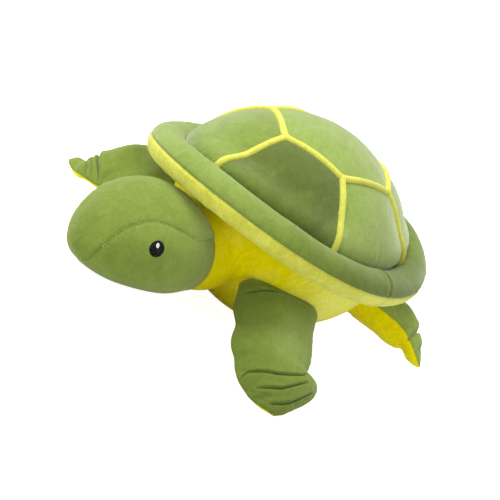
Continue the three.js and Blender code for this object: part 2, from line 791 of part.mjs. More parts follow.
function makeTorso() {
  const seats = [neckTool(), ...Object.values(flippers).map(flipperSeat)];
  const belly = (inset) => (u, v) => torsoPoint(u * fullTurn, v, inset);
  const cover = sheetSolid(roundSteps, bowlCells + 1, belly(0), belly(cloth), true);
  add('belly_cover', cut(cover, ...seats), yellow);
  const stuffing = roundSolid(roundSteps, stuffingColumns, (u, v) => stuffingPoint(u * fullTurn, v));
  add('body_filling', cut(stuffing, ...seats), white);
}

makeRim();
makeShell();
makeTorso();
makeNeck();
makeHead();
makeEyes();
makeFlippers();

export default turtle;
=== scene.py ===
import math

import bmesh
import bpy
import numpy as np
from bpy.props import FloatProperty, FloatVectorProperty, PointerProperty
from mathutils import Matrix, Vector


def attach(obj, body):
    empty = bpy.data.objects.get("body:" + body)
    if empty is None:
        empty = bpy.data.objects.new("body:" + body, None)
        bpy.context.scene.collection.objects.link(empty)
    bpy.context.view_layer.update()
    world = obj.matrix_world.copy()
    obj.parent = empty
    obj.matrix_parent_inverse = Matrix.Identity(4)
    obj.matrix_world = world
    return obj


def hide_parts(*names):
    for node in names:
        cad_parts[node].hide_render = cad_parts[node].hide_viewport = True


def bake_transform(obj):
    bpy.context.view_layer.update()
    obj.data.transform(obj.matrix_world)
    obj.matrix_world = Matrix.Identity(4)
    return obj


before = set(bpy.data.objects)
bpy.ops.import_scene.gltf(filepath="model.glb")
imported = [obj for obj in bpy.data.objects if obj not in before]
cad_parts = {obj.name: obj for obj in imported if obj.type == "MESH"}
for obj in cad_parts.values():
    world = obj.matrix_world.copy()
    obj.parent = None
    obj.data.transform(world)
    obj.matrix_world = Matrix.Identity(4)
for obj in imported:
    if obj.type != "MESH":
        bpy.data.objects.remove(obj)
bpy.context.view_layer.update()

bl_info = {
    "name": "Plush sea turtle",
    "version": (1, 0, 0),
    "blender": (4, 5, 0),
    "location": "View3D > Sidebar > Turtle",
    "description": "Sews the plush covers of a stuffed sea turtle over its packed frame",
    "category": "Object",
}

MM = 0.001
FULL_TURN = 2 * math.pi

# Sizes and colours that a user may change

# Metres
SHELL_SIZES = {
    "rim_length": (0.396, "Length of the stuffed rim from head to tail"),
    "rim_width": (0.324, "Width of the stuffed rim"),
    "rim_tube": (0.040, "Thickness of the stuffed rim"),
    "rim_height": (0.131, "Height of the rim's middle line over the floor"),
    "rim_saddle": (0.010, "How far the rim rises at head and tail"),
    "rim_lean": (0.0095, "How far the rim leans to the turtle's right"),
    "rim_twist": (0.0038, "How far the rim's quarters are turned up and down"),
    "dome_height": (0.099, "Height of the shell over the rim's middle line"),
    "dome_length": (0.299, "Length of the shell inside the rim"),
    "dome_width": (0.253, "Width of the shell inside the rim"),
    "dome_sink": (0.0125, "How far the shell's foot is drawn down into the rim"),
    "panel_puff": (0.0034, "How far the stuffing lifts the middle of a panel"),
    "piping_width": (0.008, "Width of the piping between the panels"),
}
BODY_SIZES = {
    "rest_dip": (0.010, "How far the round belly would pass below its flat rest"),
    "bowl_setback": (0.012, "How far the belly's lowest part lies behind the rim's middle"),
    "neck_width": (0.114, "Width of the neck where it leaves the torso"),
    "neck_height": (0.090, "Height of the neck where it leaves the torso"),
    "neck_length": (0.047, "Length of the neck ahead of its hinge"),
    "neck_reach": (0.118, "Place of the neck's hinge ahead of the belly's centre"),
    "neck_drop": (0.074, "Depth of the neck's middle below the rim"),
    "head_overlap": (0.020, "How far the neck enters the head"),
    "head_length": (0.1437, "Length of the head"),
    "head_width": (0.139, "Width of the head"),
    "head_height": (0.1106, "Height of the head"),
    "crown_drop": (0.0716, "Depth of the head's middle below the rim"),
    "snout_drop": (0.0934, "Depth of the snout below the rim"),
    "eye_width": (0.0140, "Width of a stitched eye"),
    "eye_height": (0.0203, "Height of a stitched eye"),
    "eye_thickness": (0.0012, "How far an eye's stitching stands proud"),
    "glint_width": (0.0030, "Width of the white glint"),
    "glint_height": (0.0062, "Height of the white glint"),
}
FLIPPER_SIZES = {
    "front_chord": (0.105, "Width of a front flipper at its root"),
    "front_length": (0.152, "Length of the left front flipper"),
    "front_thickness": (0.040, "Thickness of a front flipper"),
    "far_length": (0.134, "Length of the right front flipper, whose paw is bunched up"),
    "rear_chord": (0.078, "Width of a rear flipper at its root"),
    "rear_length": (0.113, "Length of a rear flipper"),
    "rear_thickness": (0.044, "Thickness of a rear flipper"),
    "pleat_depth": (0.0034, "Depth of a fold sewn into the near paw"),
}


def srgb(red, green, blue):
    """A display colour as the linear colour that Blender keeps."""
    values = [c / 255 for c in (red, green, blue)]
    return tuple(c / 12.92 if c <= 0.04045 else ((c + 0.055) / 1.055) ** 2.4 for c in values)


PLUSH_COLOURS = {
    "shell_green": (srgb(137, 159, 70), "Pile of the shell panels"),
    "rim_green": (srgb(129, 150, 64), "Pile of the rim's upper side"),
    # A darker copy of the shell's green: painted shade on the head
    "head_green": (srgb(126, 146, 62), "Pile of the head"),
    "flipper_green": (srgb(128, 148, 63), "Pile of the flippers' upper side"),
    "rim_yellow": (srgb(200, 200, 58), "Pile of the rim's lower side"),
    "belly_yellow": (srgb(246, 232, 0), "Pile of the belly, the neck and the undersides"),
    "piping_yellow": (srgb(222, 222, 94), "Pile of the piping"),
    "thread_black": (srgb(5, 5, 4), "Satin stitch of the eyes"),
    "thread_white": (srgb(240, 240, 236), "Satin stitch of the glints"),
    "thread_green": (srgb(190, 202, 118), "Stitches along the seams of the head"),
    "floor_white": (srgb(240, 240, 240), "Seamless floor"),
}


def property_group(class_name, kind, shared, given):
    """A property group from a table of each property's value and meaning."""
    fields = {
        key: kind(name=key.replace("_", " ").capitalize(), default=value, description=words, **shared)
        for key, (value, words) in given.items()
    }
    return type(class_name, (bpy.types.PropertyGroup,), {"__annotations__": fields})


class TurtleStudio(bpy.types.PropertyGroup):
    lens: FloatProperty(name="Lens", description="Focal length of the camera in millimetres", default=123.84)
    place: FloatVectorProperty(
        name="Camera place",
        description="Where the camera stands",
        default=(1.5534, 1.0063, 0.6716),
        subtype="XYZ",
    )
    key_power: FloatProperty(name="Key power", description="Power of the large lamp overhead", default=25)
    fill_power: FloatProperty(name="Fill power", description="Power of the lamp beside the camera", default=3)
    world_strength: FloatProperty(name="Surround", description="Light from all round", default=0.62)


DISTANCE = {"min": 0, "unit": "LENGTH", "subtype": "DISTANCE", "precision": 4}
COLOUR = {"size": 3, "min": 0, "max": 1, "subtype": "COLOR"}
PROPERTY_GROUPS = {
    "turtle_shell": property_group("TurtleShellSizes", FloatProperty, DISTANCE, SHELL_SIZES),
    "turtle_body": property_group("TurtleBodySizes", FloatProperty, DISTANCE, BODY_SIZES),
    "turtle_flippers": property_group("TurtleFlipperSizes", FloatProperty, DISTANCE, FLIPPER_SIZES),
    "turtle_colours": property_group("TurtlePlushColours", FloatVectorProperty, COLOUR, PLUSH_COLOURS),
    "turtle_studio": TurtleStudio,
}


def shell():
    return bpy.context.scene.turtle_shell


def body():
    return bpy.context.scene.turtle_body


def colours():
    return bpy.context.scene.turtle_colours


# Small helpers on arrays


def lerp(a, b, t):
    return a + (b - a) * t


def smooth(t):
    """Zero below 0, one above 1 and the cubic 3t² - 2t³ between."""
    c = np.clip(t, 0, 1)
    return c * c * (3 - 2 * c)


def bell(distance, width):
    """One at distance 0, falling off as the exponential of minus the squared distance over width."""
    return np.exp(-((distance / width) ** 2))


def stack(*parts):
    return np.stack(np.broadcast_arrays(*parts), axis=-1)


def unit(v):
    return v / np.maximum(np.linalg.norm(v, axis=-1, keepdims=True), 1e-12)


def apart(a, b):
    """The distance between points."""
    return np.linalg.norm(a - b, axis=-1)


def spline(values, place):
    """A smooth curve through evenly spaced values (Catmull-Rom), read at places counted in values."""
    ends = [2 * values[:1] - values[1:2], 2 * values[-1:] - values[-2:-1]]
    padded = np.concatenate([ends[0], values, ends[1]])
    i = np.minimum(place.astype(int), len(values) - 2)
    f = (place - i).reshape(place.shape + (1,) * (values.ndim - 1))
    a, b, c, d = (padded[i + k] for k in range(4))
    return b + 0.5 * f * (c - a + f * (2 * a - 5 * b + 4 * c - d + f * (3 * (b - c) + d - a)))


def curve_through(values, t):
    """The curve through evenly spaced values, read at t from 0 to 1."""
    return spline(np.asarray(values, float), np.clip(t, 0, 1) * (len(values) - 1))


def ripple(phase, seed):
    """A gentle uneven wave: three sines whose lengths have no common measure."""
    waves = np.sin(phase + seed) + 0.6 * np.sin(1.73 * phase + 2.1 * seed)
    return (waves + 0.4 * np.sin(2.61 * phase + 3.7 * seed)) / 2


def grid(rows, columns, closed_rows=False):
    """Two arrays that run from 0 to 1 over a grid, the last row left out where the rows close."""
    u = np.arange(rows) / (rows if closed_rows else rows - 1)
    return np.meshgrid(u, np.arange(columns) / (columns - 1), indexing="ij")


def steps_along(points, axis, closed):
    """Central differences along one axis of a grid of points."""
    if closed:
        return np.roll(points, -1, axis) - np.roll(points, 1, axis)
    return np.gradient(points, axis=axis)


def normals_of(points, centre, closed_rows=False):
    """The cross product of the grid's two directions, turned away from the centre."""
    n = unit(np.cross(steps_along(points, 0, closed_rows), steps_along(points, 1, False)))
    return n * np.sign(np.median(np.sum(n * (points - centre), axis=-1)))


def raised(points, height, centre):
    """Each point moved along its normal by its height."""
    return points + normals_of(points, centre) * height[..., None]


def grid_faces(rows, columns, closed_rows=False, closed_columns=False):
    """Corner numbers of the grid's four-sided cells."""
    i = np.arange(rows if closed_rows else rows - 1)
    j = np.arange(columns if closed_columns else columns - 1)
    i, j = (x.ravel() for x in np.meshgrid(i, j, indexing="ij"))
    here, ahead, beside = i * columns, (i + 1) % rows * columns, (j + 1) % columns
    return np.stack([here + j, ahead + j, ahead + beside, here + beside], axis=1)


# Meshes

MERGE_DISTANCE = 0.02 * MM
SHORTEST_EDGE = 0.005 * MM
CLOTH_THICKNESS = 1.6 * MM


def placed(name, data):
    """A new object in the scene."""
    thing = bpy.data.objects.new(name, data)
    bpy.context.scene.collection.objects.link(thing)
    return thing


def set_values(mesh, key, value):
    """Keeps one number for each point of the mesh, which the pile's shader reads."""
    mesh.attributes.new(key, "FLOAT", "POINT").data.foreach_set("value", value.astype(np.float32).ravel())


def vertex_values(mesh, key="co"):
    """A vector for each point of the mesh: its place or its normal."""
    values = np.empty(len(mesh.vertices) * 3, np.float32)
    mesh.vertices.foreach_get(key, values)
    return values.reshape(-1, 3).astype(float)


def mesh_object(name, points, faces, values=None):
    """A smooth mesh from arrays, merged at seams and poles. The sign of its volume turns its faces out."""
    corners = points[faces]
    triple = sum(np.cross(corners[:, k], corners[:, (k + 1) % 4]) for k in range(4))
    if np.sum(triple * corners.mean(axis=1)) < 0:
        faces = faces[:, ::-1]
    mesh = bpy.data.meshes.new(name)
    mesh.vertices.add(len(points))
    mesh.vertices.foreach_set("co", points.astype(np.float32).ravel())
    mesh.loops.add(faces.size)
    mesh.loops.foreach_set("vertex_index", faces.astype(np.int32).ravel())
    mesh.polygons.add(len(faces))
    mesh.polygons.foreach_set("loop_start", np.arange(0, faces.size, 4, dtype=np.int32))
    mesh.update(calc_edges=True)
    for key, value in (values or {}).items():
        set_values(mesh, key, value)
    work = bmesh.new()
    work.from_mesh(mesh)
    bmesh.ops.remove_doubles(work, verts=work.verts, dist=MERGE_DISTANCE)
    bmesh.ops.dissolve_degenerate(work, edges=work.edges, dist=SHORTEST_EDGE)
    work.to_mesh(mesh)
    work.free()
    mesh.validate()
    mesh.shade_smooth()
    return placed(name, mesh)


def cover(name, outer, normals, closed_rows=False, thickness=CLOTH_THICKNESS, crease=0.0, light_and_shade=0.0):
    """A cover of cloth: the outer grid, the same grid set in by the thickness, and walls along open edges.
    Crease is 1 in a seam and 0 away from it, where the pile's shader paints shade. The last argument
    paints light and shade: at 1 the pile takes its lit colour, at -1 its shaded colour."""
    rows, columns = outer.shape[:2]
    count = rows * columns
    points = np.concatenate([outer.reshape(-1, 3), (outer - normals * thickness).reshape(-1, 3)])
    front = grid_faces(rows, columns, closed_rows)
    i = np.arange(rows if closed_rows else rows - 1) * columns
    ahead = (i + columns) % count
    edges = [(ahead, i), (i + columns - 1, ahead + columns - 1)]
    if not closed_rows:
        j = np.arange(columns - 1)
        edges += [(j, j + 1), (count - columns + j + 1, count - columns + j)]
    walls = [np.stack([a, b, b + count, a + count], axis=1)[:, ::-1] for a, b in edges]
    faces = np.concatenate([front, front[:, ::-1] + count, *walls])
    shown = {"crease": crease, "light_and_shade": light_and_shade}
    values = {key: np.tile(np.broadcast_to(x, (rows, columns)).ravel(), 2) for key, x in shown.items()}
    return mesh_object(name, points, faces, values)


def tube(name, path, up, radius, closed=False, corners=20):
    """A round cord: at each point of the path a circle square to it, and a pole at each open end."""
    along = unit(steps_along(path, 0, closed))
    across = unit(np.cross(along, up))
    lift = np.cross(across, along)
    turn = (np.arange(corners) / corners * FULL_TURN)[None, :, None]
    ring = across[:, None] * np.cos(turn) + lift[:, None] * np.sin(turn)
    points = path[:, None] + ring * radius[:, None, None]
    if not closed:
        poles = [np.broadcast_to(p, (1, corners, 3)) for p in (path[0], path[-1])]
        points = np.concatenate([poles[0], points, poles[1]])
    return mesh_object(name, points.reshape(-1, 3), grid_faces(len(points), corners, closed, True))


STITCH_PITCH = 3.1 * MM
STITCH_LENGTH = 1.9 * MM
STITCH_RADIUS = 0.42 * MM
STITCH_SINK = 0.25
STITCH_RINGS = 7
STITCH_SIDES = 6


def stitches(name, path, normals):
    """A row of short threads along a path, each a capsule whose middle lies on the surface and whose ends
    dip in."""
    way = np.concatenate([[0], np.cumsum(apart(path[1:], path[:-1]))])
    count = max(int(way[-1] / STITCH_PITCH), 2)
    places = (np.arange(count) + 0.5) * way[-1] / count

    def at(values):
        return np.stack([np.interp(places, way, values[:, k]) for k in range(3)], axis=1)

    middle, lift = at(path), unit(at(normals))
    along = unit(at(path + unit(np.gradient(path, axis=0)) * MM) - middle)
    across = unit(np.cross(along, lift))
    t = (np.arange(STITCH_RINGS) / (STITCH_RINGS - 1))[:, None]
    turn = np.arange(STITCH_SIDES) / STITCH_SIDES * FULL_TURN
    swell = np.sqrt(np.maximum(1 - (2 * t - 1) ** 4, 0)) * STITCH_RADIUS
    arch = (1 - (2 * t - 1) ** 2 - STITCH_SINK) * STITCH_RADIUS
    shares = stack((t - 0.5) * STITCH_LENGTH, swell * np.cos(turn), swell * np.sin(turn) + arch)
    points = middle[:, None, None] + shares @ np.stack([along, across, lift], axis=1)[:, None]
    size = STITCH_RINGS * STITCH_SIDES
    faces = grid_faces(STITCH_RINGS, STITCH_SIDES, False, True) + np.arange(count)[:, None, None] * size
    return mesh_object(name, points.reshape(-1, 3), faces.reshape(-1, 4))


# Cloth simulation

SHEET_CELL = 4 * MM
SHEET_CELLS = (12, 48)
SHEET_BENDING = 0.4
SETTLING_FRAMES = 20


def resampled(sheet, rows, columns):
    """The same sheet on another grid, by curves along the rows and then along the columns."""
    for count in (rows, columns):
        sheet = spline(sheet, np.linspace(0, len(sheet) - 1, count)).swapaxes(0, 1)
    return sheet


def stuffed(points, centre, most, pressure, slack):
    """How far stuffing moves a sheet whose borders are sewn down: Cloth blows up a coarse copy for twenty
    frames, and the move, held under a limit, is read back on the fine grid."""
    lengths = [np.linalg.norm(np.diff(points, axis=k), axis=-1).sum(axis=k).max() for k in (0, 1)]
    few = [int(np.clip(round(length / SHEET_CELL), *SHEET_CELLS)) for length in lengths]
    coarse = resampled(points, *few)
    faces = grid_faces(*few)
    square = np.cross(*np.gradient(coarse, axis=(0, 1)))
    if np.median(np.sum(normals_of(coarse, centre) * square, axis=-1)) < 0:
        faces = faces[:, ::-1]
    mesh = bpy.data.meshes.new("sheet")
    mesh.from_pydata(coarse.reshape(-1, 3).tolist(), [], faces.tolist())
    sheet = placed("sheet", mesh)
    border = np.ones(few, bool)
    border[1:-1, 1:-1] = False
    sheet.vertex_groups.new(name="sewn").add(np.flatnonzero(border).tolist(), 1, "REPLACE")
    cloth = sheet.modifiers.new("stuffing", "CLOTH")
    cloth.settings.vertex_group_mass = "sewn"
    cloth.settings.use_pressure = True
    cloth.settings.uniform_pressure_force = pressure
    cloth.settings.shrink_min = -slack
    cloth.settings.bending_stiffness = SHEET_BENDING
    cloth.settings.effector_weights.gravity = 0
    cloth.collision_settings.use_collision = False
    cloth.point_cache.frame_start, cloth.point_cache.frame_end = 1, SETTLING_FRAMES
    for number in range(1, SETTLING_FRAMES + 1):
        bpy.context.scene.frame_set(number)
    shown = sheet.evaluated_get(bpy.context.evaluated_depsgraph_get())
    move = vertex_values(shown.data).reshape(coarse.shape) - coarse
    bpy.data.objects.remove(sheet)
    bpy.data.meshes.remove(mesh)
    bpy.context.scene.frame_set(1)
    size = np.maximum(np.linalg.norm(move, axis=-1, keepdims=True), 1e-9)
    return resampled(move * most * np.tanh(size / most) / size, *points.shape[:2])


# Shaders

# Inputs of the pile: among them its colour and a lit and a shaded copy of it, between which light and shade
# are painted
PILE_INPUTS = {"Vector": "Vector", "Pile": "Color", "Lit colour": "Color", "Shaded colour": "Color"}
PILE_INPUTS |= dict.fromkeys(("Patch size", "Fleck", "Knit", "Crease", "Light and shade"), "Float")
PILE_OUTPUTS = {"Base Color": "Color", "Roughness": "Float", "Normal": "Vector"}
# Scales of the textures in the pile and in the stitched thread. A wave texture of scale 1 repeats every
# WAVE_LENGTH.
WAVE_LENGTH = 0.314
STREAK_SCALE = 190
FIBRE_SCALE = 620
FLECK_SCALE = 1500
KNIT_SCALE = 210
THREAD_PITCH = 0.45 * MM
# How far the streaks, the fibres and the fibre ends swing the pile's brightness, and how far random patches
# swing the painted light and shade
GRAIN_SWINGS = (0.09, 0.13, 0.08)
PATCH_SWING = 0.2
# How much the knit rows show, and how much painted shade darkens the cloth in a seam
KNIT_CONTRAST = 0.16
SEAM_SHADE = -0.24
# Shares of the fibres, the streaks, the fibre ends and the knit rows in the bumps
BUMP_SHARES = (0.9, 0.8, 0.35, 0.25)
THREAD_FLECK_SCALE = 1400
THREAD_SPECK_SCALE = 900


class Nodes:
    """Short calls for making and joining nodes in one tree."""

    def __init__(self, tree):
        self.tree = tree

    def fill(self, node, given):
        """Joins a node's inputs to sockets, or sets their values."""
        for key, value in given.items():
            if isinstance(value, bpy.types.NodeSocket):
                self.tree.links.new(value, node.inputs[key])
            else:
                node.inputs[key].default_value = value

    def add(self, kind, given=None, **settings):
        node = self.tree.nodes.new(kind if kind.startswith("NodeGroup") else f"ShaderNode{kind}")
        for key, value in settings.items():
            setattr(node, key, value)
        self.fill(node, given or {})
        return node

    def calc(self, operation, a, b, clamp=False):
        return self.add("Math", {0: a, 1: b}, operation=operation, use_clamp=clamp).outputs[0]

    def times(self, a, b, clamp=False):
        return self.calc("MULTIPLY", a, b, clamp)

    def total(self, first, *others):
        for other in others:
            first = self.calc("ADD", first, other)
        return first

    def mix(self, share, a, b, blend_type="MIX"):
        return self.add("Mix", {0: share, 6: a, 7: b}, data_type="RGBA", blend_type=blend_type).outputs[2]

    def noise(self, vector, scale, detail, roughness=0.5, distortion=0.0):
        given = {"Vector": vector, "Scale": scale, "Detail": detail}
        given |= {"Roughness": roughness, "Distortion": distortion}
        return self.add("TexNoise", given).outputs["Fac"]

    def waves(self, direction, given):
        settings = {"wave_type": "BANDS", "bands_direction": direction, "wave_profile": "SIN"}
        return self.add("TexWave", given, **settings).outputs["Fac"]

    def remap(self, value, low, high, to_low, to_high):
        return self.add("MapRange", dict(enumerate((value, low, high, to_low, to_high)))).outputs["Result"]

    def around(self, value, swing):
        """A noise's middle range spread to a swing either way of nothing."""
        return self.remap(value, 0.3, 0.7, -swing, swing)


def pile_group():
    """Short plush pile: light and shade painted by mixing its colour towards a lit or a shaded copy, also in
    random patches, with fine streaks, a speckle of fibre ends, knit rows under the pile, and painted shade
    in its seams."""
    if "Pile with painted light" in bpy.data.node_groups:
        return bpy.data.node_groups["Pile with painted light"]
    group = bpy.data.node_groups.new("Pile with painted light", "ShaderNodeTree")
    for way, sockets in (("INPUT", PILE_INPUTS), ("OUTPUT", PILE_OUTPUTS)):
        for label, kind in sockets.items():
            group.interface.new_socket(name=label, in_out=way, socket_type=f"NodeSocket{kind}")
    n = Nodes(group)
    given = n.add("NodeGroupInput").outputs
    vector = given["Vector"]
    patch = n.noise(vector, n.calc("DIVIDE", 1.0, given["Patch size"]), 3, 0.55, 1.4)
    combed = n.add("Mapping", {"Vector": vector, "Scale": (1, 0.6, 0.35), "Rotation": (0.5, 0.3, 0.2)})
    streak = n.noise(combed.outputs[0], STREAK_SCALE, 4, 0.6, 0.6)
    fibre = n.noise(vector, FIBRE_SCALE, 3, 0.7)
    fleck = n.noise(vector, FLECK_SCALE, 1)
    # Painted light and shade: the per-point value and random patches mix the colour towards its lit or its
    # shaded copy
    light_and_patches = n.total(given["Light and shade"], n.around(patch, PATCH_SWING))
    tone = n.mix(n.calc("MAXIMUM", light_and_patches, 0.0, True), given["Pile"], given["Lit colour"])
    tone = n.mix(n.times(light_and_patches, -1.0, True), tone, given["Shaded colour"])
    grain = n.total(*map(n.around, (streak, fibre, fleck), GRAIN_SWINGS))
    rows = n.waves("Z", {"Vector": vector, "Scale": KNIT_SCALE, "Distortion": 1.2, "Detail": 1})
    knit = n.times(n.calc("SUBTRACT", rows, 0.5), given["Knit"])
    # Painted shade in the seams, where the cloth is also pressed
    painted_seam_shade = n.times(given["Crease"], SEAM_SHADE)
    shade = n.total(1.0, n.times(grain, given["Fleck"]), n.times(knit, KNIT_CONTRAST), painted_seam_shade)
    grey = n.add("CombineColor", {0: shade, 1: shade, 2: shade}).outputs[0]
    height = n.total(*map(n.times, (fibre, streak, fleck, knit), BUMP_SHARES))
    bump = n.add("Bump", {"Strength": 0.55, "Distance": 0.9 * MM, "Height": height}).outputs[0]
    colour = n.mix(1.0, tone, grey, "MULTIPLY")
    roughness = n.remap(streak, 0.3, 0.7, 0.78, 0.95)
    n.add("NodeGroupOutput", {"Base Color": colour, "Roughness": roughness, "Normal": bump})
    return group


def scaled_colour(rgb, share=1.0, lift=0.0):
    """A colour darkened or lightened by a share and lifted towards white."""
    return tuple(min(c * share + lift, 1) for c in rgb) + (1,)


def new_material(name):
    """A material, its nodes, its Principled shader and the object's coordinates."""
    material = bpy.data.materials.new(name)
    material.use_nodes = True
    n = Nodes(material.node_tree)
    return material, n, material.node_tree.nodes["Principled BSDF"], n.add("TexCoord").outputs["Object"]


def plush(
    name, rgb, fleck=1.0, knit=0.25, patch=0.05, sheen=0.5, tint=(0.95, 1.0, 0.6), depth=0.6, lift=0.045
):
    """Short velvety pile on a knit backing. Depth is the share of its colour kept where shade is painted,
    and lift is the white gained where light is painted, as a painted highlight."""
    material, n, shader, place = new_material(name)
    given = {
        "Vector": place,
        "Crease": n.add("Attribute", attribute_name="crease").outputs["Fac"],
        "Light and shade": n.add("Attribute", attribute_name="light_and_shade").outputs["Fac"],
        "Pile": scaled_colour(rgb),
        # The lit copy, brighter and lifted towards white, is a painted highlight; the shaded copy is painted
        # shade
        "Lit colour": scaled_colour(rgb, 1.3, lift),
        "Shaded colour": scaled_colour(rgb, depth),
        "Patch size": patch,
        "Fleck": fleck,
        "Knit": knit,
    }
    pile = n.add("Group", node_tree=pile_group())
    n.fill(pile, given)
    n.fill(shader, {key: pile.outputs[key] for key in PILE_OUTPUTS})
    n.fill(shader, {"Specular IOR Level": 0.05, "Sheen Weight": sheen, "Sheen Roughness": 0.42})
    n.fill(shader, {"Sheen Tint": (*tint, 1)})
    return material


def thread(name, rgb, across=(0, 0, 1)):
    """Satin stitch: fine bright threads side by side with a little gloss."""
    material, n, shader, place = new_material(name)
    turned = n.add("Mapping", {"Vector": place, "Rotation": across}).outputs[0]
    given = {"Vector": turned, "Scale": WAVE_LENGTH / THREAD_PITCH, "Distortion": 2.0}
    rows = n.waves("X", given | {"Detail": 2, "Detail Scale": 0.6})
    fleck = n.noise(place, THREAD_FLECK_SCALE, 2, 0.6)
    # Painted highlights: the rows and flecks mix the thread's colour towards a brighter copy of it
    lit = n.times(n.remap(rows, 0, 1, 0.3, 1), n.remap(fleck, 0.35, 0.65, 0.4, 1.5))
    tone = n.mix(n.times(lit, 0.5, True), scaled_colour(rgb), scaled_colour(rgb, 2.2, 0.004))
    speck = n.remap(n.noise(place, THREAD_SPECK_SCALE, 0), 0.62, 0.7, 0, 0.4)
    bump = n.add("Bump", {"Strength": 0.7, "Distance": 0.3 * MM, "Height": rows}).outputs[0]
    n.fill(shader, {"Base Color": n.mix(speck, tone, scaled_colour(rgb, 1.0, 0.1)), "Normal": bump})
    n.fill(shader, {"Roughness": n.remap(fleck, 0.3, 0.7, 0.42, 0.67), "Specular IOR Level": 0.1})
    return material


def finish(piece, material, slot, rides=None, stands_for=()):
    """Gives a piece its material and, where it rides one, its body, and hides the parts that it stands for.
    The slot is not used.
    """
    piece.data.materials.append(material)
    if stands_for:
        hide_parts(*stands_for)
    if rides:
        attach(piece, rides)


# Rim

# Where the tube is sewn: outside, at the foot of the shell and at the belly
RIM_SEAM = math.radians(5)
DOME_SEAM = math.radians(150)
BELLY_SEAM = math.radians(222)
# Where the covers' inner edges lie, below the shell and above the torso
UPPER_END = math.radians(184)
LOWER_START = math.radians(200)
# Where the upper cover is sewn to itself, here and half a turn on
JOIN_TURN = math.radians(93.5)
# Mean radii of the rim's oval, all round and at those joins
RIM_RADIUS = 0.16
JOIN_RADIUS = 0.145
# Where each cover is painted in shade (below 0) or painted lit (above 0): how far, at which turn and how wide
UPPER_LIGHT_AND_SHADE = [(-0.45, 1.1, 0.6), (-0.8, 1.9, 0.5)]
LOWER_LIGHT_AND_SHADE = [(1.2, 1.9, 0.7)]
# How deep and how wide the covers are pressed in at the outer seam and at the shell's foot
RIM_SEAM_DEPTH = 1.5 * MM
RIM_SEAM_WIDTH = 1.7 * MM
FOOT_TURN = math.radians(158)
FOOT_DEPTH = 1.2 * MM
FOOT_WIDTH = 3.5 * MM
# The heights of the puckers beside the seam and of the folds inside the tube's bend, and the joins' depth
RIM_PUCKER = 0.22 * MM
RIM_FOLD = 0.5 * MM
FOLDED_TURN = math.radians(70)
JOIN_DEPTH = 1.5 * MM


def rim_halves():
    """Half the length and half the width of the rim's middle line."""
    s = shell()
    return (s.rim_length - s.rim_tube) / 2, (s.rim_width - s.rim_tube) / 2


def rim_middle(turn):
    """An oval, half length times cosine and half width times sine, lifted by saddle, lean and twist."""
    s = shell()
    lift = s.rim_saddle * np.cos(2 * turn) + s.rim_lean * np.sin(turn) + s.rim_twist * np.sin(2 * turn)
    half_length, half_width = rim_halves()
    return stack(half_length * np.cos(turn), half_width * np.sin(turn), s.rim_height + lift)


def rim_out(turn, roll):
    """The direction from the rim's middle line at a roll: the oval's level normal turned up by the roll."""
    half_length, half_width = rim_halves()
    level = unit(stack(np.cos(turn) / half_length, np.sin(turn) / half_width, 0 * turn))
    return level * np.cos(roll)[..., None] + stack(0 * turn, 0 * turn, np.sin(roll))


def rim_point(turn, roll, radius):
    turn, roll = np.broadcast_arrays(turn, np.asarray(roll, float))
    return rim_middle(turn) + rim_out(turn, roll) * np.broadcast_to(radius, turn.shape)[..., None]


def rim_radius(turn, roll):
    """The tube's radius: plain, less the rolled seams and the sewn joins, with folds where it bends."""
    base = shell().rim_tube / 2
    above, below = (roll - RIM_SEAM) * base, (roll - RIM_SEAM - FULL_TURN) * base
    size = base - RIM_SEAM_DEPTH * (bell(above, RIM_SEAM_WIDTH) + bell(below, RIM_SEAM_WIDTH))
    size -= FOOT_DEPTH * bell((roll - FOOT_TURN) * base, FOOT_WIDTH)
    way = turn * RIM_RADIUS
    pucker = ripple(way / (2.6 * MM), 1.3) * bell(above, 6 * MM)
    inner = smooth((roll - FOLDED_TURN) / FOLDED_TURN)
    fold = ripple(way / (4.5 * MM), 0.4) * inner * (0.25 + 0.75 * np.cos(turn) ** 8)
    join = 0
    for place in (JOIN_TURN, JOIN_TURN + math.pi):
        away = np.abs(turn - place) * JOIN_RADIUS
        join += bell(away, 1.3 * MM) - 0.35 * bell(away - 4.5 * MM, 3.2 * MM)
    join *= smooth((roll - RIM_SEAM) / 0.12) * (roll < math.pi)
    slack = ripple(turn * 9, 0.7) * 0.42 * MM + ripple(turn * 23 + 3 * roll, 2.2) * 0.15 * MM
    return size + RIM_PUCKER * pucker + RIM_FOLD * fold - JOIN_DEPTH * join + slack


def rim_cover(name, from_roll, to_roll, columns, lights_and_shades):
    u, v = grid(720, columns, True)
    turn, roll = u * FULL_TURN, lerp(from_roll, to_roll, v)
    outer = rim_point(turn, roll, rim_radius(turn, roll))
    # Painted shade along the outer seam
    crease = sum(bell((roll - RIM_SEAM - full) * 20, 1.3) for full in (0, FULL_TURN))
    # Painted light and shade: lighter towards one end of the rim and darker towards the other, with the
    # listed patches
    light_and_shade = 0.45 * np.cos(turn + 0.35) + sum(size * bell(turn - place, width) for size, place, width in lights_and_shades)
    return cover(name, outer, rim_out(turn, roll), True, crease=crease, light_and_shade=light_and_shade)


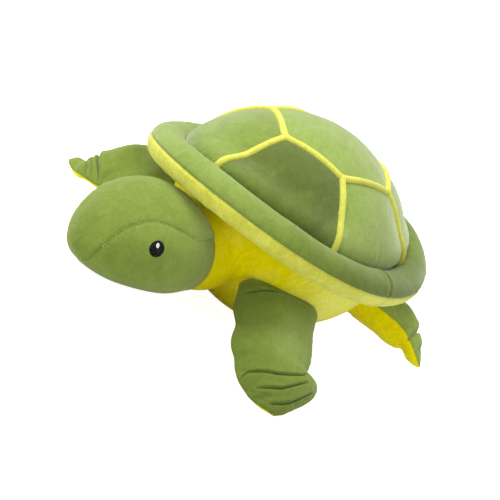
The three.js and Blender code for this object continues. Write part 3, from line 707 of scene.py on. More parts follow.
class TURTLE_OT_rim(bpy.types.Operator):
    """Sews the rim: a green upper and a yellow lower cover round a stuffed tube"""

    bl_idname = "turtle.rim"
    bl_label = "Rim"

    def execute(self, context):
        c = colours()
        upper = rim_cover("rim_upper_plush", RIM_SEAM, UPPER_END, 66, UPPER_LIGHT_AND_SHADE)
        green = plush("rim_pile", c.rim_green, sheen=0.6, tint=(0.95, 1.0, 0.75))
        finish(upper, green, "green_pile", "shell", ["rim_top_cover", "rim_filling"])
        lower = rim_cover("rim_lower_plush", LOWER_START, RIM_SEAM + FULL_TURN, 60, LOWER_LIGHT_AND_SHADE)
        # The lower cover's lit copy is lifted towards white as a painted highlight
        yellow = plush("rim_under_pile", c.rim_yellow, sheen=0.3, tint=(0.9, 1.0, 0.6), depth=0.8, lift=0.14)
        finish(lower, yellow, "yellow_pile", "shell", ["rim_under_cover"])
        return {"FINISHED"}


# Shell

PANEL_COUNT = 6
FLARE_SHARE = 0.6
HEX_SHARE = 0.405
HEX_TURNS = np.radians([0, 57, 113.5, 180, 246.5, 303])
RIB_TURNS = np.radians([0, 68, 121.5, 180, 238.5, 292, 360])
# Each side panel's pile, cut another way, is painted lit (above 0) or in shade (below 0), at its top and at
# its foot.
SIDE_LIGHT_AND_SHADE = [(-1.1, -0.75), (0.1, 0.98), (0.1, 0.4), (0.3, 0.3), (-0.2, -0.2), (-0.2, -0.1)]
# How far from a seam a panel is nearly full, and the size of its puckers, of its slack and of the seam
PUFF_REACH = 16 * MM
PUCKER_LENGTH = 2.4 * MM
PUCKER_HEIGHT = 0.16 * MM
SLACK_HEIGHT = 0.3 * MM
SEAM_DEPTH = 1.8 * MM
SEAM_WIDTH = 2.8 * MM
# How wide the painted shade at a seam spreads, and how deep the foot of a side panel is tucked down
CREASE_WIDTH = 3 * MM
TUCK_DEPTH = 2.2 * MM
# How far a side panel runs on under the rim, as a share of its height, and where it is tucked down
FOOT_REACH = 1.04
FOOT_COLUMN = -5
# The most that stuffing moves a sheet, its pressure and the sheet's slack
PANEL_STUFFING = (1.8 * MM, 150, 0)


def dome_point(turn, ring, lift):
    """Half an ellipsoid, ring 0 at the crown and 1 at its foot, drawn out past FLARE_SHARE by a smooth
    step to the rim's inner seam, then moved along the ellipsoid's normal by lift."""
    s = shell()
    rise = (1 - ring) * math.pi / 2
    height = s.dome_height + s.dome_sink
    level = s.rim_height - s.dome_sink
    wide, deep = s.dome_length / 2 * np.cos(turn), s.dome_width / 2 * np.sin(turn)
    bare = stack(wide * np.cos(rise), deep * np.cos(rise), level + height * np.sin(rise))
    foot = rim_point(turn, DOME_SEAM, s.rim_tube / 2) - stack(wide, deep, level)
    drawn = bare + foot * smooth((ring - FLARE_SHARE) / (1 - FLARE_SHARE))[..., None]
    ahead, beside = np.cos(turn) * np.cos(rise) / s.dome_length, np.sin(turn) * np.cos(rise) / s.dome_width
    normal = unit(stack(ahead, beside, np.sin(rise) / (2 * height)))
    return drawn + normal * np.broadcast_to(lift, ring.shape)[..., None]


def dome_at(flat, lift=0.0):
    """A place on the dome from its flat map, whose centre is the crown and whose unit circle is the rim."""
    return dome_point(np.arctan2(flat[..., 1], flat[..., 0]), np.hypot(flat[..., 0], flat[..., 1]), lift)


def map_corner(i):
    turn = HEX_TURNS[np.asarray(i) % PANEL_COUNT]
    return HEX_SHARE * stack(np.cos(turn), np.sin(turn))


def hexagon_map(s):
    """The hexagon's border on the flat map, s from 0 to 1 round it."""
    side = (s % 1.0) * PANEL_COUNT
    i = np.floor(side).astype(int) % PANEL_COUNT
    return lerp(map_corner(i), map_corner(i + 1), (side - np.floor(side))[..., None])


def panel_height(to_seam, along, middle, seed):
    """Puff of a panel: full in its middle, rolled down into the seam, with small puckers beside it."""
    puff = shell().panel_puff * (1 - np.exp(-to_seam / PUFF_REACH)) * (0.5 + 0.5 * middle)
    pucker = ripple(along / PUCKER_LENGTH, seed) * bell(to_seam - 5 * MM, 5 * MM) * PUCKER_HEIGHT
    slack = ripple(along / (17 * MM) + to_seam / (23 * MM), seed + 1) * SLACK_HEIGHT
    return puff - SEAM_DEPTH * bell(to_seam, SEAM_WIDTH) + pucker + slack * smooth(to_seam / (20 * MM))


def centre_panel():
    u, v = grid(240, 50, True)
    way = v**0.8
    flat = hexagon_map(u) * way[..., None]
    bare = dome_at(flat)
    to_seam = apart(bare, bare[:, -1:])
    border = np.cumsum(apart(np.roll(bare[:, -1], -1, 0), bare[:, -1]))[:, None]
    outer = dome_at(flat, panel_height(to_seam, border * smooth(way * 2), 1 - way**2, 0.3))
    normals = normals_of(outer, np.array([0, 0, shell().rim_height]), True)
    normals[:, 0] = (0, 0, 1)
    # Painted shade along its border seam, and a little painted light over the whole panel
    return cover("shell_centre_plush", outer, normals, True, crease=bell(to_seam, CREASE_WIDTH), light_and_shade=0.3)


def side_panel(i):
    """Between two ribs: the border's map runs from one side of the hexagon to the rim's circle."""
    s, t = grid(110, 110)
    t = t * FOOT_REACH
    s = 0.5 - 0.5 * np.cos(math.pi * s) * (1 - 0.25 * np.sin(math.pi * s) ** 2)
    turn = lerp(RIB_TURNS[i], RIB_TURNS[i + 1], s)
    top = lerp(map_corner(i), map_corner(i + 1), s[..., None])
    flat = lerp(top, stack(np.cos(turn), np.sin(turn)), t[..., None])
    bare = dome_at(flat)
    to_left, to_right, to_top = apart(bare, bare[:1]), apart(bare, bare[-1:]), apart(bare, bare[:, :1])
    to_seam = np.minimum(np.minimum(to_left, to_right), to_top)
    to_foot = apart(bare, bare[:, FOOT_COLUMN : FOOT_COLUMN + 1])
    along = np.where(to_seam == to_top, to_left, to_top)
    middle = np.sin(math.pi * s) * np.sin(math.pi * np.minimum(t, 1) ** 0.8)
    height = panel_height(to_seam, along, middle, 0.9 + i) - TUCK_DEPTH * bell(to_foot, 5 * MM)
    height += ripple(to_left / (3.4 * MM), 2.0 + i) * 0.35 * MM * bell(to_foot - 7 * MM, 8 * MM)
    centre = np.array([0, 0, shell().rim_height - 60 * MM])
    outer = dome_at(flat, height) + stuffed(bare, centre, *PANEL_STUFFING)
    # Painted shade along the panel's seams and its tucked foot
    crease = np.maximum(bell(to_seam, CREASE_WIDTH), bell(to_foot, CREASE_WIDTH))
    # Painted light and shade, changing from the panel's top to its foot
    light_and_shade = lerp(*SIDE_LIGHT_AND_SHADE[i], t)
    return cover(f"shell_side_plush_{i + 1}", outer, normals_of(outer, centre), crease=crease, light_and_shade=light_and_shade)


HEXAGON_POINTS = 540
ROUNDING_PASSES = 28
RIB_POINTS = 120
# A rib starts a little inside the hexagon's corner, so that its end lies under the cord
RIB_START = 0.995


def rounded(path, passes):
    """Each point of a closed path moved to the mean of its neighbours, once in each pass."""
    for _ in range(passes):
        path = (np.roll(path, 1, 0) + np.roll(path, -1, 0)) / 2
    return path


def piping(name, flat, closed, replaced):
    """A plush cord on the dome: the flat path laid on the dome, its radius uneven by a few hundredths."""
    on_dome = dome_at(flat, 0.3 * MM)
    up = unit(dome_at(flat, 3 * MM) - on_dome)
    way = np.cumsum(np.linalg.norm(np.diff(on_dome, axis=0, prepend=on_dome[:1]), axis=-1))
    uneven = 1 + 0.03 * ripple(way / (3.2 * MM), 1.7) + 0.03 * ripple(way / (11 * MM), 0.6)
    cord = tube(name, on_dome, up, shell().piping_width / 2 * uneven, closed)
    finish(cord, bpy.data.materials["piping_pile"], "piping", "shell", [replaced])


class TURTLE_OT_shell(bpy.types.Operator):
    """Sews the shell: a hexagon and six side panels, puffed between their seams"""

    bl_idname = "turtle.shell_panels"
    bl_label = "Shell panels"

    def execute(self, context):
        # Where shade is painted the shell keeps less than half of its colour
        green = plush("shell_pile", colours().shell_green, sheen=0.85, tint=(0.95, 1.0, 0.8), depth=0.45)
        finish(centre_panel(), green, "green_pile", "shell", ["shell_panel_centre", "body_filling"])
        for i in range(PANEL_COUNT):
            finish(side_panel(i), green, "green_pile", "shell", [f"shell_panel_{i + 1}"])
        return {"FINISHED"}


class TURTLE_OT_piping(bpy.types.Operator):
    """Lays the yellow piping in the seams of the shell"""

    bl_idname = "turtle.piping"
    bl_label = "Piping"

    def execute(self, context):
        plush("piping_pile", colours().piping_yellow, fleck=0.8, patch=0.03, tint=(1, 1, 0.8))
        hexagon = rounded(hexagon_map(np.arange(HEXAGON_POINTS) / HEXAGON_POINTS), ROUNDING_PASSES)
        piping("hexagon_piping", hexagon, True, "piping_hexagon")
        for i in range(PANEL_COUNT):
            foot = stack(np.cos(RIB_TURNS[i]), np.sin(RIB_TURNS[i]))
            flat = lerp(map_corner(i) * RIB_START, foot, np.linspace(0, 1, RIB_POINTS)[:, None])
            piping(f"rib_piping_{i + 1}", flat, False, f"piping_rib_{i + 1}")
        return {"FINISHED"}


# Torso and neck

# The bowl's roundness, the depth at which it has drawn in, and by what shares
BOWL_POWER = 1.9
SHELF_SHARE = 0.12
BOWL_SHARES = {"front": 0.8, "side": 0.97, "rear": 1.0}
# The head's opening as a share of its full size, and how far the neck stays inside it
REAR_SHARE = 0.857
NECK_FIT = 3.2 * MM
# Where the bowl's lid ends, and where the neck starts to close inside the head
LID_SHARE = 0.2
CLOSING_SHARE = 0.85
VOXEL = 3.2 * MM
# How wide the valley between bowl and neck is filled, in how many steps, and how often each is smoothed
VALLEY_WIDTH = 26 * MM
VALLEY_LEVELS = 20
SKIN_PASSES = 6
VALLEY_PASSES = 60
# How deep a flipper's root presses the torso in
ROOT_DEPTH = 5 * MM


def bowl_point(turn, depth):
    """A bowl that hangs from the rim's lower inner seam: outwards cos^(2/p) and downwards sin^(2/p) of a
    quarter turn times depth, drawn in below the seam, and cut level where it rests."""
    b = body()
    seam = rim_point(turn, BELLY_SEAM, shell().rim_tube / 2)
    quarter = depth * math.pi / 2
    out = np.maximum(np.cos(quarter), 0) ** (2 / BOWL_POWER)
    down = np.sin(quarter) ** (2 / BOWL_POWER)
    end = np.where(np.cos(turn) > 0, BOWL_SHARES["front"], BOWL_SHARES["rear"])
    narrow = lerp(BOWL_SHARES["side"], end, np.cos(turn) ** 2)
    share = out * lerp(1, narrow, smooth(depth / SHELF_SHARE))
    z = np.maximum(seam[..., 2] - (seam[..., 2] + b.rest_dip) * down, 0)
    return stack(seam[..., 0] * share - b.bowl_setback * down, seam[..., 1] * share, z)


def head_rear():
    b = body()
    return b.neck_reach + b.neck_length - b.head_overlap


def neck_point(turn, along):
    """A ball about the neck's hinge that becomes a column: an oval that grows to the head's opening."""
    b = body()
    ball = b.neck_width / 2
    arc = ball * math.pi / 2
    way = along * (arc + b.neck_length)
    ahead = np.maximum(way - arc, 0)
    quarter = np.minimum(way / ball, math.pi / 2)
    reached = np.minimum(ahead / (head_rear() - b.neck_reach), 1)
    wide = lerp(ball, b.head_width / 2 * REAR_SHARE - NECK_FIT, reached)
    high = lerp(b.neck_height / 2, b.head_height / 2 * REAR_SHARE - NECK_FIT, reached)
    x = b.neck_reach + np.where(way < arc, -ball * np.cos(quarter), ahead)
    z = shell().rim_height - b.neck_drop + high * np.sin(quarter) * np.cos(turn)
    return stack(x, wide * np.sin(quarter) * np.sin(turn), z)


def torso_solids():
    """The bowl closed over the top inside the shell, and the neck closed inside the head, as two grids."""
    u, v = grid(180, 72, True)
    turn = u * FULL_TURN
    bowl = bowl_point(turn, np.clip((v - LID_SHARE) / (1 - LID_SHARE), 0, 1))
    lid = rim_point(turn, BELLY_SEAM, shell().rim_tube / 2)
    centre = np.array([0, 0, shell().rim_height + 8 * MM])
    bowl = np.where((v < LID_SHARE)[..., None], lerp(centre, lid, (v / LID_SHARE)[..., None] ** 0.7), bowl)
    u, v = grid(90, 60, True)
    neck = neck_point(u * FULL_TURN, np.minimum(v / CLOSING_SHARE, 1))
    closing = smooth((v - CLOSING_SHARE) / (1 - CLOSING_SHARE))[..., None]
    return bowl, lerp(neck, neck[:, -1].mean(axis=0), closing)


def applied(piece):
    """The piece's mesh with its modifiers worked into it."""
    bpy.context.view_layer.update()
    mesh = bpy.data.meshes.new_from_object(piece.evaluated_get(bpy.context.evaluated_depsgraph_get()))
    old = piece.data
    piece.modifiers.clear()
    piece.data = mesh
    bpy.data.meshes.remove(old)
    mesh.name = piece.name


def move_vertices(piece, points):
    piece.data.vertices.foreach_set("co", points.astype(np.float32).ravel())
    piece.data.update()


def joined(name, grids):
    """Several closed grids in one mesh."""
    work = bmesh.new()
    for points in grids:
        part = mesh_object(name, points.reshape(-1, 3), grid_faces(*points.shape[:2], True))
        work.from_mesh(part.data)
        bpy.data.meshes.remove(part.data)
    mesh = bpy.data.meshes.new(name)
    work.to_mesh(mesh)
    work.free()
    return placed(name, mesh)


def smoothed(piece, passes, group=""):
    """Adds a modifier that smooths the piece, or one group of its points."""
    fair = piece.modifiers.new("smoothing", "SMOOTH")
    fair.factor, fair.iterations, fair.vertex_group = 0.5, passes, group


def torso_piece():
    """One skin over bowl and neck: their union remeshed, and the valley between them filled by smoothing."""
    piece = joined("torso_plush", torso_solids())
    remesh = piece.modifiers.new("union", "REMESH")
    remesh.mode = "VOXEL"
    remesh.voxel_size = VOXEL
    applied(piece)
    ahead = vertex_values(piece.data)[:, 0] - (body().neck_reach + 2 * MM)
    levels = np.round(bell(ahead, VALLEY_WIDTH) * VALLEY_LEVELS).astype(int)
    group = piece.vertex_groups.new(name="valley")
    for level in range(1, VALLEY_LEVELS + 1):
        group.add(np.flatnonzero(levels == level).tolist(), level / VALLEY_LEVELS, "REPLACE")
    smoothed(piece, SKIN_PASSES)
    smoothed(piece, VALLEY_PASSES, "valley")
    applied(piece)
    co = vertex_values(piece.data)
    co[:, 2] = np.maximum(co[:, 2], 0)
    move_vertices(piece, co)
    # Painted shade round each flipper's root, where the torso is pressed in
    set_values(piece.data, "crease", np.clip(torso_creases(piece) / (3 * MM), 0, 1))
    turned = np.arctan2(np.abs(co[:, 1]), co[:, 0])
    # Painted light on the belly's sides
    set_values(piece.data, "light_and_shade", 0.9 * bell(turned - 1.7, 0.6))
    piece.data.shade_smooth()
    return piece


def torso_creases(piece):
    """Presses the torso in round each flipper's root, but not its flat rest. Returns the depth."""
    co, normals = vertex_values(piece.data), vertex_values(piece.data, "normal")
    depth = np.zeros(len(co))
    for name in FLIPPERS:
        place = FlipperPlace(name)
        away, across, rise = ((co - place.hinge) @ way for way in (place.out, place.back, place.up))
        beside = np.maximum(np.abs(across) - place.chord * 0.42, 0)
        above = np.maximum(np.abs(rise) - place.thickness * 0.34, 0)
        near = np.exp(-np.hypot(beside, above) / (7 * MM)) * smooth((away + 6 * MM) / (14 * MM))
        depth += ROOT_DEPTH * near
    moved = co - normals * depth[:, None]
    moved[:, 2] = np.where(co[:, 2] < MM, co[:, 2], moved[:, 2])
    move_vertices(piece, moved)
    return depth


class TURTLE_OT_torso(bpy.types.Operator):
    """Sews the yellow torso and neck as one skin between shell and head"""

    bl_idname = "turtle.torso"
    bl_label = "Torso and neck"

    def execute(self, context):
        # The belly's lit copy is lifted far towards white as a painted highlight
        look = {"sheen": 0.08, "tint": (0.9, 1.0, 0.4), "depth": 0.8, "lift": 0.2}
        yellow = plush("belly_pile", colours().belly_yellow, **look)
        piece = torso_piece()
        finish(piece, yellow, "yellow_pile", None, ["belly_cover", "neck_sleeve", "neck_filling"])
        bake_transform(piece)
        return {"FINISHED"}


# Head

# Where along the head it is widest, and the two powers that shape it ahead of that
SWELL_SHARE = 0.29
NOSE_FULLNESS = 1.98
NOSE_BLUNTNESS = 0.65
# The crown's seam, evenly stepped from the neck to the chin: shares of the head's length, and degrees
SEAM_ALONG = [0, 0.1, 0.2, 0.3, 0.4, 0.54, 0.63, 0.71, 0.83, 0.9, 0.93, 0.92, 0.91]
SEAM_TURNS = [42, 44, 48, 50, 47, 38, 32, 31, 37, 60, 92, 140, 180]
SEAM_LENGTH = 0.24
# The points along that seam, those that are topstitched, and how deep the stitches lie
SEAM_POINTS = 400
STITCHED = slice(6, -90)
STITCH_DEPTH = 0.3 * MM
# Between these shares of the head's length the crown's rows change from round to straight
CHORD_START = 0.54
CHORD_END = 0.9
FACE_TILT = math.radians(46)
# The rear edge is turned in on a quarter circle and a bit
HEM_ROWS = 7
HEM_RADIUS = 5 * MM
HEM_TURN = math.radians(115)
CHEEK_STUFFING = (1.2 * MM, 60, 0.003)
# The crown's roll beside its seam, the depths of the seams, and the length of the puckers along them
CROWN_ROLL = 0.8 * MM
CROWN_SEAM_DEPTH = 0.7 * MM
CHEEK_SEAM_DEPTH = 0.8 * MM
CHIN_SEAM_DEPTH = 1.0 * MM
HEAD_PUCKER_LENGTH = 2.7 * MM


def head_share(along):
    """The section's share of the head's full size: a quarter sine behind SWELL_SHARE, then a blunt power."""
    rear = lerp(REAR_SHARE, 1, np.sin(math.pi / 2 * np.clip(along / SWELL_SHARE, 0, 1)))
    nose = np.clip((along - SWELL_SHARE) / (1 - SWELL_SHARE), 0, 1)
    return np.where(along < SWELL_SHARE, rear, np.maximum(1 - nose**NOSE_FULLNESS, 0) ** NOSE_BLUNTNESS)


def along_of(share):
    nose = np.maximum(1 - share ** (1 / NOSE_BLUNTNESS), 0) ** (1 / NOSE_FULLNESS)
    return lerp(SWELL_SHARE, 1, nose)


def head_middle(along):
    """Height of the head's middle line: a parabola through the neck's, the crown's and the snout's drops."""
    b = body()
    drop = b.neck_drop * (1 - along) * (1 - 2 * along) + 4 * b.crown_drop * along * (1 - along)
    return shell().rim_height - drop - b.snout_drop * along * (2 * along - 1)


def head_point(turn, along, lift=0.0):
    """An oval section across the head: half width times sine of turn, half height times cosine."""
    b = body()
    share = head_share(along)
    wide = np.maximum(b.head_width / 2 * share + lift, 0)
    high = np.maximum(b.head_height / 2 * share + lift, 0)
    x = head_rear() + (b.head_length + lift) * along
    return stack(x, wide * np.sin(turn), head_middle(along) + high * np.cos(turn))


def face_turn(side, row):
    """Turn of the crown's seam. The face is sewn askew: its right side is turned down by FACE_TILT, less
    towards the chin."""
    turn = np.radians(curve_through(SEAM_TURNS, row))
    return turn + np.where(np.asarray(side) < 0, FACE_TILT * (1 - turn / math.pi), 0)


def crown_point(row, side):
    """Rows run from one seam over the crown to the other, round the head at the rear, straight in front."""
    along = curve_through(SEAM_ALONG, row)
    turn = face_turn(side, row)
    share = head_share(along)
    across, rise = share * np.sin(turn) * side, share * np.cos(turn)
    chord = smooth((along - CHORD_START) / (CHORD_END - CHORD_START))
    bent = np.where((np.abs(across) < 1e-9) & (rise < 0), math.pi, np.arctan2(across, rise))
    return head_point(lerp(side * turn, bent, chord), lerp(along, along_of(np.hypot(across, rise)), chord))


def cheek_point(side, row, v):
    """Rows run from the crown's seam down the cheek to the chin."""
    along = lerp(curve_through(SEAM_ALONG, row), row * SEAM_ALONG[-1], v)
    return head_point(side * lerp(face_turn(side, row), math.pi, v), along)


def head_core(height=0.06):
    """A point inside the head."""
    return np.array([head_rear() + 0.06, 0, height])


def head_normals(points):
    return normals_of(points, head_core(head_middle(0.4)))


def hemmed_cover(name, points, crease, light_and_shade, hem_light_and_shade):
    """A cover of the head with rows before the first, which turn the rear edge in towards the neck."""
    turn = np.linspace(HEM_TURN, 0, HEM_ROWS + 1)[:-1, None, None]
    inward, back = -head_normals(points)[0], np.array([-1.0, 0, 0])
    hem = points[0] + HEM_RADIUS * (inward * (1 - np.cos(turn)) + back * np.sin(turn))
    hemmed = np.concatenate([hem, points])
    rows = ((HEM_ROWS, 0), (0, 0))
    crease, light_and_shade = np.pad(crease, rows), np.pad(light_and_shade, rows, constant_values=hem_light_and_shade)
    return cover(name, hemmed, head_normals(hemmed), crease=crease, light_and_shade=light_and_shade)


def crown():
    row, v = grid(170, 120)
    points = crown_point(row, 2 * v - 1)
    to_seam = np.minimum(apart(points, points[:, :1]), apart(points, points[:, -1:]))
    height = CROWN_ROLL * bell(to_seam - 6 * MM, 6 * MM) - CROWN_SEAM_DEPTH * bell(to_seam, 1.3 * MM)
    pucker = ripple(row * SEAM_LENGTH / HEAD_PUCKER_LENGTH, 0.8)
    height += pucker * bell(to_seam - 4 * MM, 5 * MM) * 0.22 * MM
    height += ripple(points[..., 0] / (19 * MM), 0.2) * 0.4 * MM * smooth(to_seam / (15 * MM))
    points = raised(points, height, points.mean(axis=(0, 1)))
    # Painted light towards the rear of the crown, and a little painted shade elsewhere
    light_and_shade = 0.35 * bell(row - 0.05, 0.3) + 1.1 * bell(row - 0.1, 0.15) * bell(v - 0.78, 0.4) - 0.2
    # Painted shade along the crown's seams
    return hemmed_cover("head_crown_plush", points, 0.7 * bell(to_seam, 1.3 * MM), light_and_shade, 0.3)


def cheek(name, side):
    row, v = grid(170, 110)
    points = cheek_point(side, row, v)
    to_crown, to_chin = apart(points, points[:, :1]), apart(points, points[:, -1:])
    height = -CHEEK_SEAM_DEPTH * bell(to_crown, 1.4 * MM) - CHIN_SEAM_DEPTH * bell(to_chin, 2 * MM)
    pucker = ripple(row * SEAM_LENGTH / HEAD_PUCKER_LENGTH, 1.9)
    height += pucker * bell(to_crown - 4 * MM, 5 * MM) * 0.3 * MM
    height += ripple(points[..., 0] / (15 * MM) + v * 3, 1.1) * 0.35 * MM * smooth(to_crown / (15 * MM))
    centre = np.array([points[..., 0].mean(), 0, points[..., 2].mean()])
    puff = stuffed(points, centre, *CHEEK_STUFFING) * smooth(4 * row)[..., None]
    # Painted shade along the crown's seam and the chin's
    crease = 0.7 * np.maximum(bell(to_crown, 1.3 * MM), bell(to_chin, 1.5 * MM))
    # Painted light across the cheek's middle rows, and a little painted shade elsewhere
    light_and_shade = 0.5 * bell(row - 0.3, 0.25) - 0.15
    return hemmed_cover(f"head_{name}_plush", raised(points, height, centre) + puff, crease, light_and_shade, 0.0)


class TURTLE_OT_head(bpy.types.Operator):
    """Sews the head: a crown panel and two cheeks, with rolled seams and their stitches"""

    bl_idname = "turtle.head"
    bl_label = "Head"

    def execute(self, context):
        green = plush("head_pile", colours().head_green, knit=0.8)
        sewing = thread("green_thread", colours().thread_green)
        finish(crown(), green, "green_pile", "head", ["head_crown_panel", "head_filling"])
        for name, side in (("left", 1), ("right", -1)):
            finish(cheek(name, side), green, "green_pile", "head", [f"head_{name}_panel"])
            row = np.linspace(0, 1, SEAM_POINTS)[STITCHED]
            seam = crown_point(row, np.full(len(row), float(side)))
            lift = unit(seam - head_core())
            sewn = stitches(f"head_{name}_stitches", seam - lift * STITCH_DEPTH, lift)
            finish(sewn, sewing, "green_pile", "head")
        return {"FINISHED"}


# Each eye's side, its share of the head's length and its turn from the crown in degrees
EYES = {"left": (1, 0.63, 63.5), "right": (-1, 0.56, 98)}
# How many degrees a glint lies above its eye's middle, and how far its thread stands over the eye's
GLINT_RISE = 4
GLINT_HEIGHT = 0.6 * MM
# How uneven the edge of a patch is
EDGE_RIPPLE = 0.03
PATCH_THICKNESS = 0.6 * MM
THREAD_LAY = (0, 0.5, 0.4)


def patch(name, side, along, turn, width, height, low, high):
    """A stitched oval on the cheek: a ripple makes its edge uneven, and its middle is domed."""
    u, v = grid(96, 22, True)
    around = u * FULL_TURN
    size = v * (1 + EDGE_RIPPLE * ripple(around * 17, 0.5) * v) / 2
    across = size * width * np.cos(around) / body().head_length
    rise = size * height * np.sin(around) / (body().head_width / 2 * head_share(np.array(along)))
    dome = low + (high - low) * np.sqrt(np.maximum(1 - v**2.6, 0))
    outer = head_point(side * (math.radians(turn) + rise), along + across, dome)
    normals = normals_of(outer, head_core(), True)
    normals[:, 0] = normals[:, 1].mean(axis=0)
    return cover(name, outer, normals, True, thickness=PATCH_THICKNESS)


class TURTLE_OT_eyes(bpy.types.Operator):
    """Stitches the two black eyes and their white glints"""

    bl_idname = "turtle.eyes"
    bl_label = "Eyes"

    def execute(self, context):
        b = body()
        seat, top = 0.1 * MM, b.eye_thickness
        eye_size = (b.eye_width, b.eye_height, seat, top)
        glint_size = (b.glint_width, b.glint_height, top * 0.9, top * 0.9 + GLINT_HEIGHT)
        black = thread("black_thread", colours().thread_black, THREAD_LAY)
        white = thread("white_thread", colours().thread_white, THREAD_LAY)
        for name, (side, along, turn) in EYES.items():
            eye = patch(f"{name}_eye_stitching", side, along, turn, *eye_size)
            finish(eye, black, "black_stitching", "head", [f"{name}_eye"])
            glint = patch(f"{name}_glint_stitching", side, along, turn - GLINT_RISE, *glint_size)
            finish(glint, white, "white_stitching", "head", [f"{name}_eye_glint"])
        return {"FINISHED"}


# Flippers

REAR = {"kind": "rear", "root": (-0.682, 0.512, 0.536), "angles": (112, -4, -22, 36)}
FLIPPERS = {
    "front_left": {"kind": "near", "side": 1, "root": (0.307, 0.667, 0.456), "angles": (64, 20.5, 1, 2)},
    "front_right": {"kind": "far", "side": -1, "root": (0.29, 0.67, 0.468), "angles": (79, 13, 20, 13)},
    "rear_left": {**REAR, "side": 1},
    "rear_right": {**REAR, "side": -1},
}
# The edges' roundness, the share of a flipper's columns that closes its root, and the bend's softness
EDGE_POWER = 2.6
ROOT_SHARE = 0.16
SOFT_BEND = 9 * MM
CURL_START = 0.86
STATIONS = np.array([0, 0.11, 0.2, 0.32, 0.43, 0.5, 0.56, 0.62, 0.72, 0.81, 0.9, 0.96, 1])
# Edges as shares of half the chord, the power and root that round the tip, the wrist's place, how far the
# leading seam is tucked under, and how far the tip curls up
OUTLINES = {
    "near": {
        "lead": [-1, -1.05, -1.09, -1.05, -1.15, -1.19, -1.18, -1.13, -1.12, -1.04, -0.82, -0.6, -0.3],
        "trail": [1, 0.9, 0.84, 0.79, 0.74, 0.66, 0.6, 0.84, 0.76, 0.52, 0.2, -0.02, -0.25],
        "tip": (2.4, 0.6),
        "wrist": 0.7,
        "tuck": 5 * MM,
        "curl": 0,
    },
    "far": {
        "lead": [-1, -1.1, -1.18, -1.25, -1.28, -1.28, -1.27, -1.25, -1.2, -1.13, -1.04, -0.96, -0.86],
        "trail": [1, 1, 1, 0.99, 0.97, 0.93, 0.89, 0.82, 0.4, -0.5, -0.62, -0.62, -0.82],
        "tip": (2.8, 0.8),
        "wrist": 0.7,
        "tuck": 0,
        "curl": 5 * MM,
    },
    "rear": {
        "lead": [-1, -0.99, -0.97, -0.93, -0.84, -0.78, -0.74, -0.71, -0.68, -0.66, -0.56, -0.42, -0.28],
        "trail": [1, 0.97, 0.94, 0.88, 0.76, 0.67, 0.59, 0.52, 0.41, 0.31, 0.1, -0.1, -0.24],
        "tip": (3, 0.7),
        "wrist": 0.6,
        "tuck": 0,
        "curl": 0,
    },
}
# Painted light (above 0) or painted shade (below 0) on each upper side, at its borders and in its middle
FLIPPER_LIGHT_AND_SHADE = {"near": (-0.75, 1.0), "far": (0.0, -1.0), "rear": (0.9, 1.2)}
# Each fold's line: places across and distances from the root in millimetres. The near one's last is at
# its root, and the others are on the paws.
PLEATS = {
    "near": [
        ((-56, -50, -36, -21, -4, 13, 21), (123, 114, 112, 111, 106, 100, 94)),
        ((-40, -26, -13, 5, 23), (130, 128, 125, 114.5, 103)),
        ((-24, -10, 1, 16, 32), (143.5, 139.5, 134.5, 123, 110)),
        ((-52, -40, -26, -10), (13, 9.5, 6.5, 3.5)),
    ],
    "far": [
        ((-66, -48, -31, -20, 10), (71, 90, 101, 104, 106)),
        ((-66, -49, -34, -24), (82, 96.5, 106, 111)),
        ((-65, -51, -44, -30), (91, 102, 108.5, 116.6)),
    ],
    "rear": [
        ((-34, -15, 0, 22), (79, 80, 80, 78)),
        ((-26, -14, 0, 14), (97, 98, 98, 96)),
    ],
}
# How broad each flipper's folds are against the near one's, and how deep each fold is
PLEAT_SIZES = {"near": (1, (1, 1, 1, 1)), "far": (1.5, (1.6, 0.7, 0.6)), "rear": (2.4, (1.6, 0.6))}
# Where stuffing gathers under the upper side and the underside: height, place along the flipper, spread
BULGES = {
    "far top": [(10 * MM, 0.6, 0.13), (-3 * MM, 0.85, 0.06)],
    "rear top": [(4 * MM, 0.42, 0.17)],
    "rear underside": [(2.5 * MM, 0.48, 0.15), (-3.5 * MM, 0.69, 0.06)],
}
FLIPPER_STUFFING = (2.2 * MM, 120, 0.006)
# Two distances out of the hinge, in millimetres, whose points are worked out for each flipper but not used
STRETCHED = (8, 42)
# The columns between the round root and the tip, both of which close to points
OPEN_COLUMNS = slice(40, 220)


class FlipperPlace:
    """Where a flipper's root sits, its three directions, and its sizes."""

    def __init__(self, name):
        given, sizes = FLIPPERS[name], bpy.context.scene.turtle_flippers
        self.kind, side = given["kind"], given["side"]
        heading, slope, roll, self.bend = (math.radians(x) for x in given["angles"])
        level = np.array([math.cos(heading), side * math.sin(heading), 0])
        self.out = level * math.cos(slope) - np.array([0, 0, math.sin(slope)])
        level = np.array([-math.sin(heading), side * math.cos(heading), 0])
        rise = -side * np.cross(level, self.out)
        self.back = level * math.cos(roll) + rise * math.sin(roll)
        self.up = rise * math.cos(roll) - level * math.sin(roll)
        half_length, half_width = rim_halves()
        self.hinge = np.array([half_length, side * half_width, shell().rim_height]) * given["root"]
        end = "rear" if self.kind == "rear" else "front"
        self.chord, self.thickness = getattr(sizes, f"{end}_chord"), getattr(sizes, f"{end}_thickness")
        self.length = getattr(sizes, "far_length" if self.kind == "far" else f"{end}_length")
        self.lines = OUTLINES[self.kind]

    def outline(self, share):
        """The leading and trailing edges' distance across, from the outline's stations."""
        t = np.interp(share, STATIONS, np.linspace(0, 1, len(STATIONS)))
        return [curve_through(self.lines[k], t) * self.chord / 2 for k in ("lead", "trail")]


